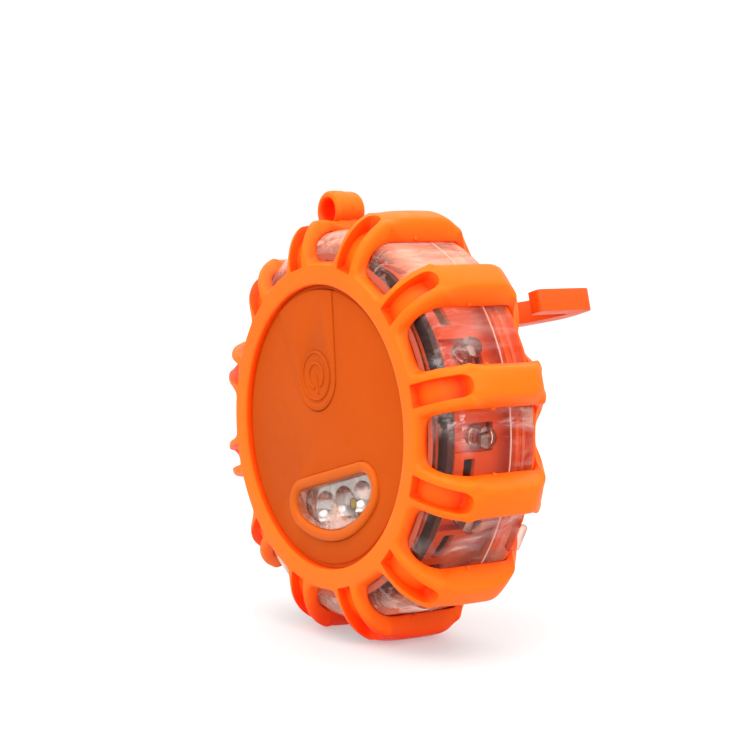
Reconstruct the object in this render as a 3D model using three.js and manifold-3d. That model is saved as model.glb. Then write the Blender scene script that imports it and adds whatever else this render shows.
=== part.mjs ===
// LED safety flare: a round roadside warning puck, in millimetres, +Z up.
// The flare stands on edge on two of its bumper ribs. Its front faces -Y and its magnet faces +Y.
// The origin is the centre of the magnet's face. A "depth" is a distance behind the front ring's face.
import * as THREE from "three";
import { mergeVertices } from "three/addons/utils/BufferGeometryUtils.js";
import Module from "manifold-3d";

// ---- driving dimensions ----
const THICKNESS = 34;
const RIB_COUNT = 12;
const LEAN = THREE.MathUtils.degToRad(15);
const GAP = 0.3;

// Rubber bumper sleeve
const RIB_RADIUS = 52;
const LOOP_RIB_RADIUS = 49.4;
const RIB_WIDTH = 9.6;
const RIB_FLAT = [11, 22];
const RIB_CROWN = { shoulder: 0.8, shoulderDrop: 2, top: 3 };
const FRONT_RING = { inner: 33.4, outer: 38.7, back: 2.7 };
const REAR_RING = { inner: 38.9, crest: 39.5, outer: 42.4, face: 33.6, seat: 31.8, edge: [30.45, 30.9] };
const POCKET_WIDTH = 4.9;
const POCKET_DEPTH = 1.7;
const LOOP = { outer: 5, hole: 3, centre: 52.3, front: 11.3, length: 8.6, footHalf: 4 };

// Clear lens shell
const LENS_RADIUS = 46.3;
const LENS_WALL = 2;
const LENS_FRONT = 3;
const LENS_BACK = 27.2;
const LENS_SHOULDER = { r: 39.5, depth: 9.2 };
const LUG = { angle: -45, halfWidth: 3.4, front: 25.2, back: 28.6, rise: 1.1 };

// Front panel, button and torch
const PANEL_RADIUS = 33.1;
const PANEL_FACE = 1.3;
const PANEL_BACK = 3.6;
const PANEL_FLANGE = { r: 39, front: 5.3, back: 6.7, inner: 30.5, slopeStart: 29.5 };
const BUTTON = { r: 8.3, centre: 12.3, topHalf: 12, topZ: 31, spread: 11, front: 0.95, back: 3.3 };
const BUTTON_OVERRUN = { half: 7, z: 36 };
const BUTTON_STEM = { r: 1.8, end: 4.1 };
const BUTTON_TRAVEL_ROOM = 0.5;
const SWITCH = { half: 3, front: 5.1, back: 7.5, well: 1.95, wellFloor: 7.3 };
const PLUNGER = { r: 1.6, front: 4.4 };
const TORCH = { top: -10.3, corner: 6.2, sweep: 27, rim: 2.6, front: 0.3 };
const TORCH_LEDS = { pitch: 8, row: -18.7 };
const TORCH_WINDOW = { front: 1.1, back: 2.4 };
const REFLECTOR = { front: 3.9, back: 6.4, cupFront: 3.9, cupBack: 2 };
const TORCH_CHIP = { half: 1.6, front: 6.8, back: 7.5, domeR: 1.1, domeFront: 6.3 };

// Circuit board and side LEDs
const BOARD = { r: 40, front: 7.8, back: 9.4 };
const LED = { base: 36, tip: 42.6, r: 2.5, flange: 2.9, depth: 18.3 };
const LED_LEG = { pitch: 2.54, half: 0.25, drop: 1.2 };
const DRUM = { inner: 37, outer: 38.2, front: 10, back: 25.2, slot: 3.3, slotBack: 21.8 };

// Board components: [name, x, z, width, height, rise]
const BOARD_PARTS = [
  ["controller_chip", -28, 0, 5, 6.2, 1.6],
  ["driver_transistor", 29, 5, 3, 3.4, 1.4],
  ["ballast_resistor_1", 26, -20, 3.4, 1.8, 0.8],
  ["ballast_resistor_2", 23, -23, 3.4, 1.8, 0.8],
];

// Back shell: a flange against the lens, a cone behind it, and a seat for the sleeve's rear ring
const SHELL = { r: 38.6, face: 32.8, inside: 29.2 };
const SHELL_FLANGE = { r: 46, front: 27.4, back: 27.9 };
const SHELL_LIP = { r: 42.9, depth: 30.3, stepR: 42.7, stepDepth: 29.9, seat: 31.5 };
const SKIRT = { outer: 43.9, inner: 41.9, front: 24 };
const GROOVE = { r: 42.8, front: 25.4, back: 27 };
const SEAL = { inner: 43.1, outer: 44, front: 25.7, back: 26.7 };
const POST = { r: 2.8, circle: 33.5, angles: [90, 150, 210, 300], start: 6, end: 21.7, boreStart: 13 };
const BOSS = { r: 3, front: 22, back: 30, headR: 2.6, headSeat: 28 };
const SCREW = { headR: 2.1, shankR: 1, clearR: 1.4, recess: 0.7, slotHalf: 0.3, slotReach: 1.1 };

// Battery bay, door and magnet
const BAY = { x: -6.5, halfX: 16, halfZ: 25, wall: 1.25, floor: 19.3, floorWall: 1.2, back: 31 };
const BATTERY = { r: 5.25, length: 44.5, nub: 1.9, nubLength: 1, top: 23.9, lift: 0.35 };
const SPRING = { big: 3.6, small: 1.8, length: 2, turns: 2.5, wire: 0.3, start: 23.5 };
const PLATE = { front: 20.5, back: 29.3, thick: 0.4, top: 24.2 };
// Contact plates: [name, from, to along X from the bay's middle, whether at the top]
const CONTACTS = [
  ["contact_plate_top_1", -14.5, -6.5, true],
  ["contact_plate_top_2", -4.5, 14.5, true],
  ["contact_plate_bottom_1", -14.5, 4.5, false],
  ["contact_plate_bottom_2", 6.5, 14.5, false],
];
const DOOR = { halfX: 18.7, halfZ: 27.4, corner: 4, front: 31, step: 30.7, lobeZ: -29.6, lobeR: 4.3 };
const HOUSING_SCREW = { top: 30, headHeight: 1.5, end: 16 };
const DOOR_SCREW = { top: 33.3, headHeight: 1.1, end: 26.2, headR: 2.5, headSeat: 31.9 };
const DOOR_POST = { r: 3, boreR: 1.3 };
const GASKET = { halfX: 17.1, halfZ: 25.8, corner: 3.2, front: 30, back: 30.7 };
const GASKET_GROOVE = { halfX: 16.8, halfZ: 25.5, front: 29.7 };
const MAGNET = { r: 10, front: 31.8, chamfer: 0.5 };
const LEAD_R = 0.7;
const LEAD_ENDS = {
  positive: [[-20, 17.3, 20], [-20, 15, 19.5], [-21, 12.5, 17.5], [-21, BOARD.back + GAP, 17]],
  negative: [[8, 17.3, -20], [8.5, 15, -20], [10, 12.5, -18], [10, BOARD.back + GAP, -17.5]],
};

// Hook and its hinge
const HINGE = { depth: 30, z: 21.55, x0: 15, x1: 24, pinR: 1.1 };
const HOOK_THICK = 5.3;
const HOOK_WIDTH = 4.5;
const HOOK_REACH = { right: 34.8, knuckle: 34, bend: 46.5, slant: 51.4, back: 60 };
const HOOK_TIP = { inside: 55.4, start: 44.6 };
const HOOK_POCKET = { x0: 14.5, x1: 35.7, z0: -10.4, z1: 24.9, cutX: 27.8, cutZ: 9.5, floor: 27, wall: 1.4 };

const wasm = await Module();
wasm.setup();

const sideAngles = Array.from({ length: RIB_COUNT }, (_, i) => 75 - (360 / RIB_COUNT) * i);

// ---- helpers ----
const y = (depth) => depth - THICKNESS;
const rad = THREE.MathUtils.degToRad;

// A closed geometry as a solid for cutting and joining.
function solid(geometry) {
  const bare = geometry.clone();
  bare.deleteAttribute("normal");
  bare.deleteAttribute("uv");
  const merged = mergeVertices(bare, 1e-4);
  const triVerts = new Uint32Array(merged.index.array);
  const vertProperties = new Float32Array(merged.attributes.position.array);
  return new wasm.Manifold(new wasm.Mesh({ numProp: 3, vertProperties, triVerts }));
}

// A solid back as a geometry.
function geometryOf(made) {
  const out = made.getMesh();
  const geometry = new THREE.BufferGeometry();
  geometry.setAttribute("position", new THREE.Float32BufferAttribute(out.vertProperties, 3));
  geometry.setIndex(Array.from(out.triVerts));
  geometry.computeVertexNormals();
  return geometry;
}

const join = (first, ...others) => others.reduce((made, piece) => made.add(piece), first);
const cut = (first, ...others) => others.reduce((made, piece) => made.subtract(piece), first);

function paint(color, roughness, metalness = 0, opacity = 1) {
  return new THREE.MeshStandardMaterial({
    color,
    roughness,
    metalness,
    opacity,
    transparent: opacity < 1,
  });
}

// A profile of [radius, depth] points, in either sense, turned about the flare's axis.
function turned(profile, segments = 36) {
  const points = profile.map(([r, depth]) => new THREE.Vector2(r, y(depth)));
  if (THREE.ShapeUtils.area(points) < 0) points.reverse();
  return solid(new THREE.LatheGeometry(points, segments));
}

// A shape in the face plane, with its y upwards, between two depths.
function slab(shape, front, back, curveSegments = 8) {
  const flat = new THREE.ExtrudeGeometry(shape, {
    depth: back - front,
    bevelEnabled: false,
    curveSegments,
  });
  return solid(flat.rotateX(Math.PI / 2).translate(0, y(back), 0));
}

function block([x0, x1], [front, back], [z0, z1]) {
  const box = new THREE.BoxGeometry(x1 - x0, back - front, z1 - z0);
  return solid(box.translate((x0 + x1) / 2, y((front + back) / 2), (z0 + z1) / 2));
}

// A rod along the flare's axis.
function rod(x, z, r, front, back, segments = 16) {
  const round = new THREE.CylinderGeometry(r, r, back - front, segments);
  return solid(round.translate(x, y((front + back) / 2), z));
}

// A rod along the hinge, which lies across the flare.
function crossRod(r, x0, x1, depth, z, segments = 16) {
  const round = new THREE.CylinderGeometry(r, r, x1 - x0, segments).rotateZ(-Math.PI / 2);
  return solid(round.translate((x0 + x1) / 2, y(depth), z));
}

const polar = (r, degrees) => [r * Math.cos(rad(degrees)), r * Math.sin(rad(degrees))];

// Turns a solid that is built at the top of the flare to another place on its rim.
const aroundRim = (made, degrees) => made.rotate([0, 90 - degrees, 0]);

// Points of a quarter ellipse in [radius, depth], from the face (u = 0) to the rim (u = 1).
function quarter(centreR, centreDepth, semiR, semiDepth, steps) {
  return Array.from({ length: steps + 1 }, (_, i) => {
    const turn = (i / steps) * (Math.PI / 2);
    return [centreR + semiR * Math.sin(turn), centreDepth + semiDepth * Math.cos(turn)];
  });
}

function roundedRectangle(x0, x1, z0, z1, r) {
  const shape = new THREE.Shape();
  shape.absarc(x1 - r, z1 - r, r, 0, Math.PI / 2);
  shape.absarc(x0 + r, z1 - r, r, Math.PI / 2, Math.PI);
  shape.absarc(x0 + r, z0 + r, r, Math.PI, 1.5 * Math.PI);
  shape.absarc(x1 - r, z0 + r, r, 1.5 * Math.PI, 2 * Math.PI);
  shape.closePath();
  return shape;
}

// One solid for each housing screw, made by make(x, z).
const atPosts = (make) => POST.angles.map((angle) => make(...polar(POST.circle, angle)));

// ---- bumper sleeve ----
// The ribs' side outline, from each ring's face out to the ribs' tops, moved outwards by grow.
const frontCurve = (grow = 0, growDepth = grow, steps = 5) =>
  quarter(
    FRONT_RING.outer,
    RIB_FLAT[0],
    RIB_RADIUS - FRONT_RING.outer + grow,
    -RIB_FLAT[0] - growDepth,
    steps,
  );
const rearCurve = (grow = 0, growDepth = grow, steps = 5) =>
  quarter(
    REAR_RING.crest,
    RIB_FLAT[1],
    RIB_RADIUS - REAR_RING.crest + grow,
    REAR_RING.face - RIB_FLAT[1] + growDepth,
    steps,
  );
const lensShoulder = (grow, steps = 3) =>
  quarter(
    LENS_SHOULDER.r,
    LENS_SHOULDER.depth,
    LENS_RADIUS - LENS_SHOULDER.r + grow,
    LENS_FRONT - LENS_SHOULDER.depth - grow,
    steps,
  );
// A [y, z] shape swept across a rib at the top of the flare.
function acrossRib(side, width) {
  const swept = new THREE.ExtrudeGeometry(side, { depth: width, bevelEnabled: false });
  const axes = new THREE.Matrix4().set(0, 0, 1, -width / 2, 1, 0, 0, 0, 0, 1, 0, 0, 0, 0, 0, 1);
  return solid(swept.applyMatrix4(axes));
}

// One rib, built at the top of the flare: its side outline, narrowed towards a crowned top.
function rib(topRadius) {
  const outline = [
    ...frontCurve(),
    ...rearCurve().reverse(),
    [REAR_RING.crest, REAR_RING.seat],
    [SHELL_LIP.r + GAP, SHELL_LIP.depth + GAP],
    [LENS_RADIUS + GAP, SHELL_FLANGE.back],
    [LENS_RADIUS + GAP, LENS_SHOULDER.depth],
    ...lensShoulder(GAP).reverse(),
    [FRONT_RING.outer - 1, FRONT_RING.back],
    [FRONT_RING.outer - 1, 0],
  ];
  const side = new THREE.Shape(outline.map(([r, depth]) => new THREE.Vector2(y(depth), r)));
  const { shoulder, shoulderDrop, top } = RIB_CROWN;
  const half = [
    [RIB_WIDTH / 2, 30],
    [RIB_WIDTH / 2, LENS_RADIUS],
    [RIB_WIDTH / 2 - shoulder, topRadius - shoulderDrop],
    [RIB_WIDTH / 2 - top, topRadius],
  ];
  const crown = [...half, ...half.map(([x, z]) => [-x, z]).reverse()];
  const section = new THREE.Shape(crown.map(([x, z]) => new THREE.Vector2(x, z)));
  return acrossRib(side, RIB_WIDTH).intersect(slab(section, -1, THICKNESS + 1));
}

// The shallow pocket between a rib's two rails, from its [radius, depth] rim and floor points.
function pocket(rim, floor) {
  const outline = [...rim, ...floor.reverse()];
  const side = new THREE.Shape(outline.map(([r, depth]) => new THREE.Vector2(y(depth), r)));
  return acrossRib(side, POCKET_WIDTH);
}

function frontPocket() {
  const reach = ([, depth]) => depth < 9.5;
  const floor = frontCurve(-2.6, -POCKET_DEPTH, 5).filter(reach);
  return pocket([[37, -2], ...frontCurve(2).filter(reach)], floor);
}

function rearPocket() {
  const reach = ([r, depth]) => r > 42.5 && depth > 24;
  return pocket(rearCurve(2).filter(reach), rearCurve(-2.6, -POCKET_DEPTH, 5).filter(reach));
}

function hangingLoop() {
  const back = LOOP.front + LOOP.length;
  const foot = block([-LOOP.footHalf, LOOP.footHalf], [LOOP.front, back], [LENS_RADIUS + GAP, LOOP.centre]);
  return join(rod(0, LOOP.centre, LOOP.outer, LOOP.front, back, 24), foot);
}

const hangingHole = () => rod(0, LOOP.centre, LOOP.hole, -1, THICKNESS, 16);

function bumperSleeve() {
  const { inner, outer, back } = FRONT_RING;
  const front = turned([
    [inner, 0.4],
    [inner + 0.5, 0],
    [outer - 0.6, 0],
    [outer, 0.6],
    [outer, back],
    [inner, back],
    [inner, 0.4],
  ]);
  const rear = turned([
    [REAR_RING.inner, REAR_RING.seat],
    [REAR_RING.inner, REAR_RING.face],
    [REAR_RING.crest, REAR_RING.face],
    [REAR_RING.outer, REAR_RING.edge[1]],
    [REAR_RING.outer, REAR_RING.edge[0]],
    [REAR_RING.inner, REAR_RING.seat],
  ]);
  let sleeve = join(front, rear);
  for (let i = 0; i < RIB_COUNT; i += 1) {
    const holdsLoop = i === 0;
    const plain = rib(holdsLoop ? LOOP_RIB_RADIUS : RIB_RADIUS);
    const one = holdsLoop ? cut(join(plain, hangingLoop()), hangingHole()) : plain;
    const finished = cut(one, frontPocket(), rearPocket());
    sleeve = sleeve.add(aroundRim(finished, 90 + (360 / RIB_COUNT) * i));
  }
  return sleeve;
}

// ---- lens shell ----
function lensShell() {
  const inside = LENS_RADIUS - LENS_WALL;
  const shell = turned([
    [33.7, LENS_FRONT],
    ...lensShoulder(0),
    [LENS_RADIUS, LENS_BACK],
    [inside, LENS_BACK],
    ...quarter(LENS_SHOULDER.r, LENS_SHOULDER.depth, inside - LENS_SHOULDER.r, -4.2, 3).reverse(),
    [33.7, 5],
    [33.7, LENS_FRONT],
  ]);
  const { angle, halfWidth, front, back, rise } = LUG;
  const base = block([-halfWidth, halfWidth], [front, LENS_BACK], [LENS_RADIUS - 1, LENS_RADIUS + rise]);
  const tongue = block([-halfWidth, halfWidth], [front, back], [LENS_RADIUS + GAP, LENS_RADIUS + rise]);
  return shell.add(aroundRim(base.add(tongue), angle));
}

// ---- front panel, button and torch ----
// The button's outline: a round end, tapering out to the ring at the top, and on past the panel's edge.
function buttonShape(grow) {
  const r = BUTTON.r + grow;
  const shape = new THREE.Shape();
  shape.moveTo(BUTTON.topHalf + grow, BUTTON.topZ);
  shape.absarc(0, BUTTON.centre, r, rad(-BUTTON.spread), rad(180 + BUTTON.spread), true);
  shape.lineTo(-BUTTON.topHalf - grow, BUTTON.topZ);
  shape.lineTo(-BUTTON_OVERRUN.half, BUTTON_OVERRUN.z);
  shape.lineTo(BUTTON_OVERRUN.half, BUTTON_OVERRUN.z);
  shape.closePath();
  return shape;
}

// The torch's outline: flat along its top, swept about the panel's centre below, and round at its sides.
function torchShape(grow) {
  const cornerZ = TORCH.top - TORCH.corner;
  const cornerX = Math.sqrt((TORCH.sweep - TORCH.corner) ** 2 - cornerZ ** 2);
  const swing = Math.atan2(cornerZ, cornerX);
  const shape = new THREE.Shape();
  shape.absarc(cornerX, cornerZ, TORCH.corner + grow, Math.PI / 2, swing, true);
  shape.absarc(0, 0, TORCH.sweep + grow, swing, -Math.PI - swing, true);
  shape.absarc(-cornerX, cornerZ, TORCH.corner + grow, -Math.PI - swing, -1.5 * Math.PI, true);
  shape.closePath();
  return shape;
}

function frontPanel() {
  const { r, front, back, inner, slopeStart } = PANEL_FLANGE;
  const plate = turned([
    [0, PANEL_BACK],
    [slopeStart, PANEL_BACK],
    [inner, back],
    [r, back],
    [r, front],
    [PANEL_RADIUS, front],
    [PANEL_RADIUS, PANEL_FACE],
    [0, PANEL_FACE],
  ]);
  const posts = atPosts((x, z) => rod(x, z, POST.r, POST.start, POST.end, 12));
  const bores = atPosts((x, z) => rod(x, z, SCREW.clearR, POST.boreStart, POST.end + 1, 8));
  const key = slab(buttonShape(GAP), -1, front, 6);
  const keyHole = key.intersect(rod(0, 0, PANEL_RADIUS + 1, -1, front, 36));
  const lamp = slab(torchShape(GAP), -1, front);
  return cut(join(plate, ...posts), ...bores, keyHole, lamp);
}

function powerButton() {
  const face = slab(buttonShape(0), BUTTON.front, BUTTON.back);
  const round = rod(0, 0, PANEL_RADIUS - GAP, 0, BUTTON.back + 1, 36);
  const stem = rod(0, BUTTON.centre, BUTTON_STEM.r, BUTTON.back - 0.2, BUTTON_STEM.end, 12);
  return join(face.intersect(round), stem);
}

function torchBezel() {
  const ring = slab(torchShape(0), TORCH.front, PANEL_BACK);
  return cut(ring, slab(torchShape(-TORCH.rim), 0, PANEL_BACK + 1));
}

const torchWindow = () => slab(torchShape(-TORCH.rim - GAP), TORCH_WINDOW.front, TORCH_WINDOW.back);

// A mirrored tray, inset a little from the torch's outline, with a cone for each LED.
function torchReflector() {
  const { front, back, cupFront, cupBack } = REFLECTOR;
  const inset = 0.5;
  const body = slab(torchShape(-inset), front, back);
  const through = back - front + 0.4;
  const cups = [-1, 0, 1].map((i) => {
    const cone = new THREE.CylinderGeometry(cupBack, cupFront, through, 16);
    return solid(cone.translate(i * TORCH_LEDS.pitch, y((front + back) / 2), TORCH_LEDS.row));
  });
  return cut(body, ...cups);
}

function torchLed(i) {
  const { half, front, back, domeR, domeFront } = TORCH_CHIP;
  const x = (i - 1) * TORCH_LEDS.pitch;
  const z = TORCH_LEDS.row;
  const chip = block([x - half, x + half], [front, back], [z - half, z + half]);
  return chip.add(rod(x, z, domeR, domeFront, front + 0.1, 12));
}

// ---- electronics ----
function circuitBoard() {
  const disc = rod(0, 0, BOARD.r, BOARD.front, BOARD.back, 36);
  const holes = atPosts((x, z) => rod(x, z, POST.r + 0.5, BOARD.front - 1, BOARD.back + 1, 12));
  return cut(disc, ...holes);
}

function tactSwitch() {
  const { half, front, back, well, wellFloor } = SWITCH;
  const body = block([-half, half], [front, back], [BUTTON.centre - half, BUTTON.centre + half]);
  return cut(body, rod(0, BUTTON.centre, well, front - 0.1, wellFloor, 16));
}

function switchPlunger() {
  const end = SWITCH.wellFloor - BUTTON_TRAVEL_ROOM - 0.2;
  return rod(0, BUTTON.centre, PLUNGER.r, PLUNGER.front, end, 16);
}

// A domed LED lying on a radius, with its two legs bent down to the board.
function sideLed(degrees) {
  const { base, tip, r, flange, depth } = LED;
  const dome = Array.from({ length: 4 }, (_, i) => {
    const turn = (i / 4) * (Math.PI / 2);
    return new THREE.Vector2(r * Math.cos(turn), tip - r + r * Math.sin(turn));
  });
  const profile = [
    new THREE.Vector2(0, base),
    new THREE.Vector2(flange, base),
    new THREE.Vector2(flange, base + 1),
    new THREE.Vector2(r, base + 1),
    ...dome,
    new THREE.Vector2(0, tip),
  ];
  const turnedUp = new THREE.LatheGeometry(profile, 10).rotateX(Math.PI / 2);
  let led = solid(turnedUp.translate(0, y(depth), 0));
  const { pitch, half, drop } = LED_LEG;
  for (const x of [-pitch / 2, pitch / 2]) {
    const across = block([x - half, x + half], [depth - half, depth + half], [base - drop, base + 0.2]);
    const knee = [base - drop, base - drop + 2 * half];
    const down = block([x - half, x + half], [BOARD.back + GAP, depth], knee);
    led = join(led, across, down);
  }
  return aroundRim(led, degrees);
}

// The drum behind the LEDs, open to the front where each LED sits in it.
function ledDrum() {
  const { inner, outer, front, back, slot, slotBack } = DRUM;
  const wall = turned([
    [inner, front],
    [outer, front],
    [outer, back],
    [inner, back],
    [inner, front],
  ], 60);
  const opening = block([-slot, slot], [front - 1, slotBack], [inner - 3, outer + 3]);
  const openings = sideAngles.map((degrees) => aroundRim(opening, degrees));
  return cut(wall, ...openings);
}

function boardPart(x, z, width, height, rise) {
  const front = BOARD.back + GAP;
  return block([x - width / 2, x + width / 2], [front, front + rise], [z - height / 2, z + height / 2]);
}

// ---- back shell, batteries and door ----
// The hook's pocket: a rectangle whose outer top corner is cut off to stay inside the rim.
function hookPocketShape(grow) {
  const { x0, x1, z0, z1, cutX, cutZ } = HOOK_POCKET;
  const outwards = grow * 0.7;
  const shape = new THREE.Shape();
  shape.moveTo(x0 - grow, z0 - grow);
  shape.lineTo(x1 + outwards, z0 - grow);
  shape.lineTo(x1 + outwards, cutZ);
  shape.lineTo(cutX + outwards, z1 + grow);
  shape.lineTo(x0 - grow, z1 + grow);
  shape.closePath();
  return shape;
}

function doorShape(grow) {
  const { halfX, halfZ, corner } = DOOR;
  return bayShape(halfX + grow, halfZ + grow, corner);
}

const bayShape = (halfX, halfZ, corner) =>
  roundedRectangle(BAY.x - halfX, BAY.x + halfX, -halfZ, halfZ, corner);

const shellPlate = () =>
  turned([
    [0, SHELL.inside],
    [SKIRT.inner, SHELL.inside - 0.4],
    [SKIRT.inner, SKIRT.front],
    [SKIRT.outer, SKIRT.front],
    [SKIRT.outer, GROOVE.front],
    [GROOVE.r, GROOVE.front],
    [GROOVE.r, GROOVE.back],
    [SKIRT.outer, GROOVE.back],
    [SKIRT.outer, SHELL_FLANGE.front],
    [SHELL_FLANGE.r, SHELL_FLANGE.front],
    [SHELL_FLANGE.r, SHELL_FLANGE.back],
    [SHELL_LIP.r, SHELL_LIP.depth],
    [SHELL_LIP.stepR, SHELL_LIP.stepDepth],
    [SHELL.r, SHELL_LIP.seat],
    [SHELL.r, SHELL.face],
    [0, SHELL.face],
  ]);

// What the battery bay and its door leave out of the shell.
function bayHollows() {
  const { halfX, halfZ, floor } = BAY;
  const cave = slab(bayShape(halfX, halfZ, 2), floor, THICKNESS, 4);
  const doorStep = slab(doorShape(GAP), DOOR.step, THICKNESS);
  const lobeStep = rod(BAY.x, DOOR.lobeZ, DOOR.lobeR + GAP, DOOR.step, THICKNESS, 24);
  const { front } = GASKET_GROOVE;
  const land = slab(bayShape(GASKET_GROOVE.halfX, GASKET_GROOVE.halfZ, 3), front - 1, DOOR.front);
  const groove = cut(slab(doorShape(-0.5), front, DOOR.front), land);
  const bore = rod(BAY.x, DOOR.lobeZ, DOOR_POST.boreR, DOOR_SCREW.end - 0.6, 32, 10);
  return [cave, doorStep, lobeStep, groove, bore];
}

const pinBore = () =>
  crossRod(HINGE.pinR + GAP, HINGE.x0 - 1.6, HINGE.x1 + 2.6, HINGE.depth, HINGE.z, 12);

// The block beside the knuckle that carries the pin's far end.
function pinSeat() {
  const depths = [HOOK_POCKET.floor - 0.5, SHELL.face];
  return cut(block([HINGE.x1 + 0.4, HINGE.x1 + 4], depths, [HINGE.z - 3.5, HINGE.z + 4]), pinBore());
}

function backShell() {
  const { halfX, halfZ, wall, floor, floorWall, back } = BAY;
  const bay = slab(bayShape(halfX + wall, halfZ + wall, 3), floor - floorWall, back, 3);
  const doorPost = rod(BAY.x, DOOR.lobeZ, DOOR_POST.r, DOOR_SCREW.end - 1.2, back);
  const hookHousing = slab(hookPocketShape(HOOK_POCKET.wall), HOOK_POCKET.floor - HOOK_POCKET.wall, back);
  const bosses = atPosts((x, z) => rod(x, z, BOSS.r, BOSS.front, BOSS.back, 12));
  const heads = atPosts((x, z) => rod(x, z, BOSS.headR, BOSS.headSeat, THICKNESS, 10));
  const shanks = atPosts((x, z) => rod(x, z, SCREW.clearR, BOSS.front - 2, BOSS.back, 8));
  const hookPocket = slab(hookPocketShape(0), HOOK_POCKET.floor, THICKNESS);
  const whole = join(shellPlate(), bay, doorPost, hookHousing, ...bosses);
  return cut(whole, ...bayHollows(), hookPocket, pinBore(), ...heads, ...shanks).add(pinSeat());
}

const sealRing = () =>
  turned([
    [SEAL.inner, SEAL.front],
    [SEAL.inner, SEAL.back],
    [SEAL.outer, SEAL.back],
    [SEAL.outer, SEAL.front],
    [SEAL.inner, SEAL.front],
  ], 36);

// A pan-head screw with a cross recess, its head's top and its shank's end at the given depths.
function screw(x, z, { top, headHeight, end }) {
  const { headR, shankR, recess, slotHalf, slotReach } = SCREW;
  const depths = [top - recess, top + 1];
  const cross = join(
    block([x - slotReach, x + slotReach], depths, [z - slotHalf, z + slotHalf]),
    block([x - slotHalf, x + slotHalf], depths, [z - slotReach, z + slotReach]),
  );
  const head = rod(x, z, headR, top - headHeight, top, 12);
  return cut(join(head, rod(x, z, shankR, end, top - headHeight / 2, 8)), cross);
}

// One cell, standing along Z, its nub up or down.
function battery(x, up) {
  const { r, length, nub, nubLength, top, lift } = BATTERY;
  const profile = [
    [0, 0],
    [r - 0.4, 0],
    [r, 0.4],
    [r, length - nubLength - 0.4],
    [r - 0.4, length - nubLength],
    [nub, length - nubLength],
    [nub, length],
    [0, length],
  ].map(([radius, along]) => new THREE.Vector2(radius, along));
  const stood = new THREE.LatheGeometry(profile, 16).rotateX(Math.PI / 2);
  if (!up) stood.rotateX(Math.PI);
  const foot = up ? top - length : length - top;
  return solid(stood.translate(x, y(BAY.floor + lift + r), foot));
}

// A conical contact spring between a cell's flat end and its plate.
function contactSpring(x, up) {
  class Coil extends THREE.Curve {
    getPoint(t, target = new THREE.Vector3()) {
      const turn = t * SPRING.turns * 2 * Math.PI;
      const r = SPRING.big + (SPRING.small - SPRING.big) * t;
      return target.set(r * Math.cos(turn), r * Math.sin(turn), t * SPRING.length);
    }
  }
  const coil = wireAlong(new Coil(), SPRING.wire, 20);
  if (up) coil.rotateX(Math.PI);
  const z = up ? SPRING.start : -SPRING.start;
  return solid(coil.translate(x, y(BAY.floor + BATTERY.lift + BATTERY.r), z));
}

function wireAlong(path, r, steps) {
  const section = new THREE.Shape();
  section.absarc(0, 0, r, 0, 2 * Math.PI);
  return new THREE.ExtrudeGeometry(section, {
    extrudePath: path,
    steps,
    curveSegments: 3,
    bevelEnabled: false,
  });
}

// A spring plate across the bay's end, between two places measured from the bay's middle.
function contactPlate(from, to, isTop) {
  const z = isTop ? PLATE.top : -PLATE.top - PLATE.thick;
  return block([BAY.x + from, BAY.x + to], [PLATE.front, PLATE.back], [z, z + PLATE.thick]);
}

// An insulated wire from the battery bay's wall to the board, through [x, depth, z] points.
function lead(points) {
  const path = new THREE.CatmullRomCurve3(points.map(([x, depth, z]) => new THREE.Vector3(x, y(depth), z)));
  return solid(wireAlong(path, LEAD_R, 8));
}

function batteryDoor() {
  const { headR, headSeat } = DOOR_SCREW;
  const lobe = rod(BAY.x, DOOR.lobeZ, DOOR.lobeR, DOOR.front, SHELL.face, 24);
  const plate = join(slab(doorShape(0), DOOR.front, SHELL.face), lobe);
  const magnetSeat = rod(0, 0, MAGNET.r + GAP, MAGNET.front - GAP, THICKNESS, 36);
  const head = rod(BAY.x, DOOR.lobeZ, headR, headSeat, THICKNESS, 16);
  const shank = rod(BAY.x, DOOR.lobeZ, SCREW.clearR, DOOR.front - 1, THICKNESS, 10);
  return cut(plate, magnetSeat, head, shank);
}

function doorGasket() {
  const { halfX, halfZ, corner, front, back } = GASKET;
  const inside = slab(bayShape(halfX, halfZ, corner), front - 1, back + 1, 4);
  return cut(slab(doorShape(-0.8), front, back, 4), inside);
}

const magnet = () =>
  turned([
    [0, MAGNET.front],
    [0, THICKNESS],
    [MAGNET.r - MAGNET.chamfer, THICKNESS],
    [MAGNET.r, THICKNESS - MAGNET.chamfer],
    [MAGNET.r, MAGNET.front],
    [0, MAGNET.front],
  ], 36);

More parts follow.
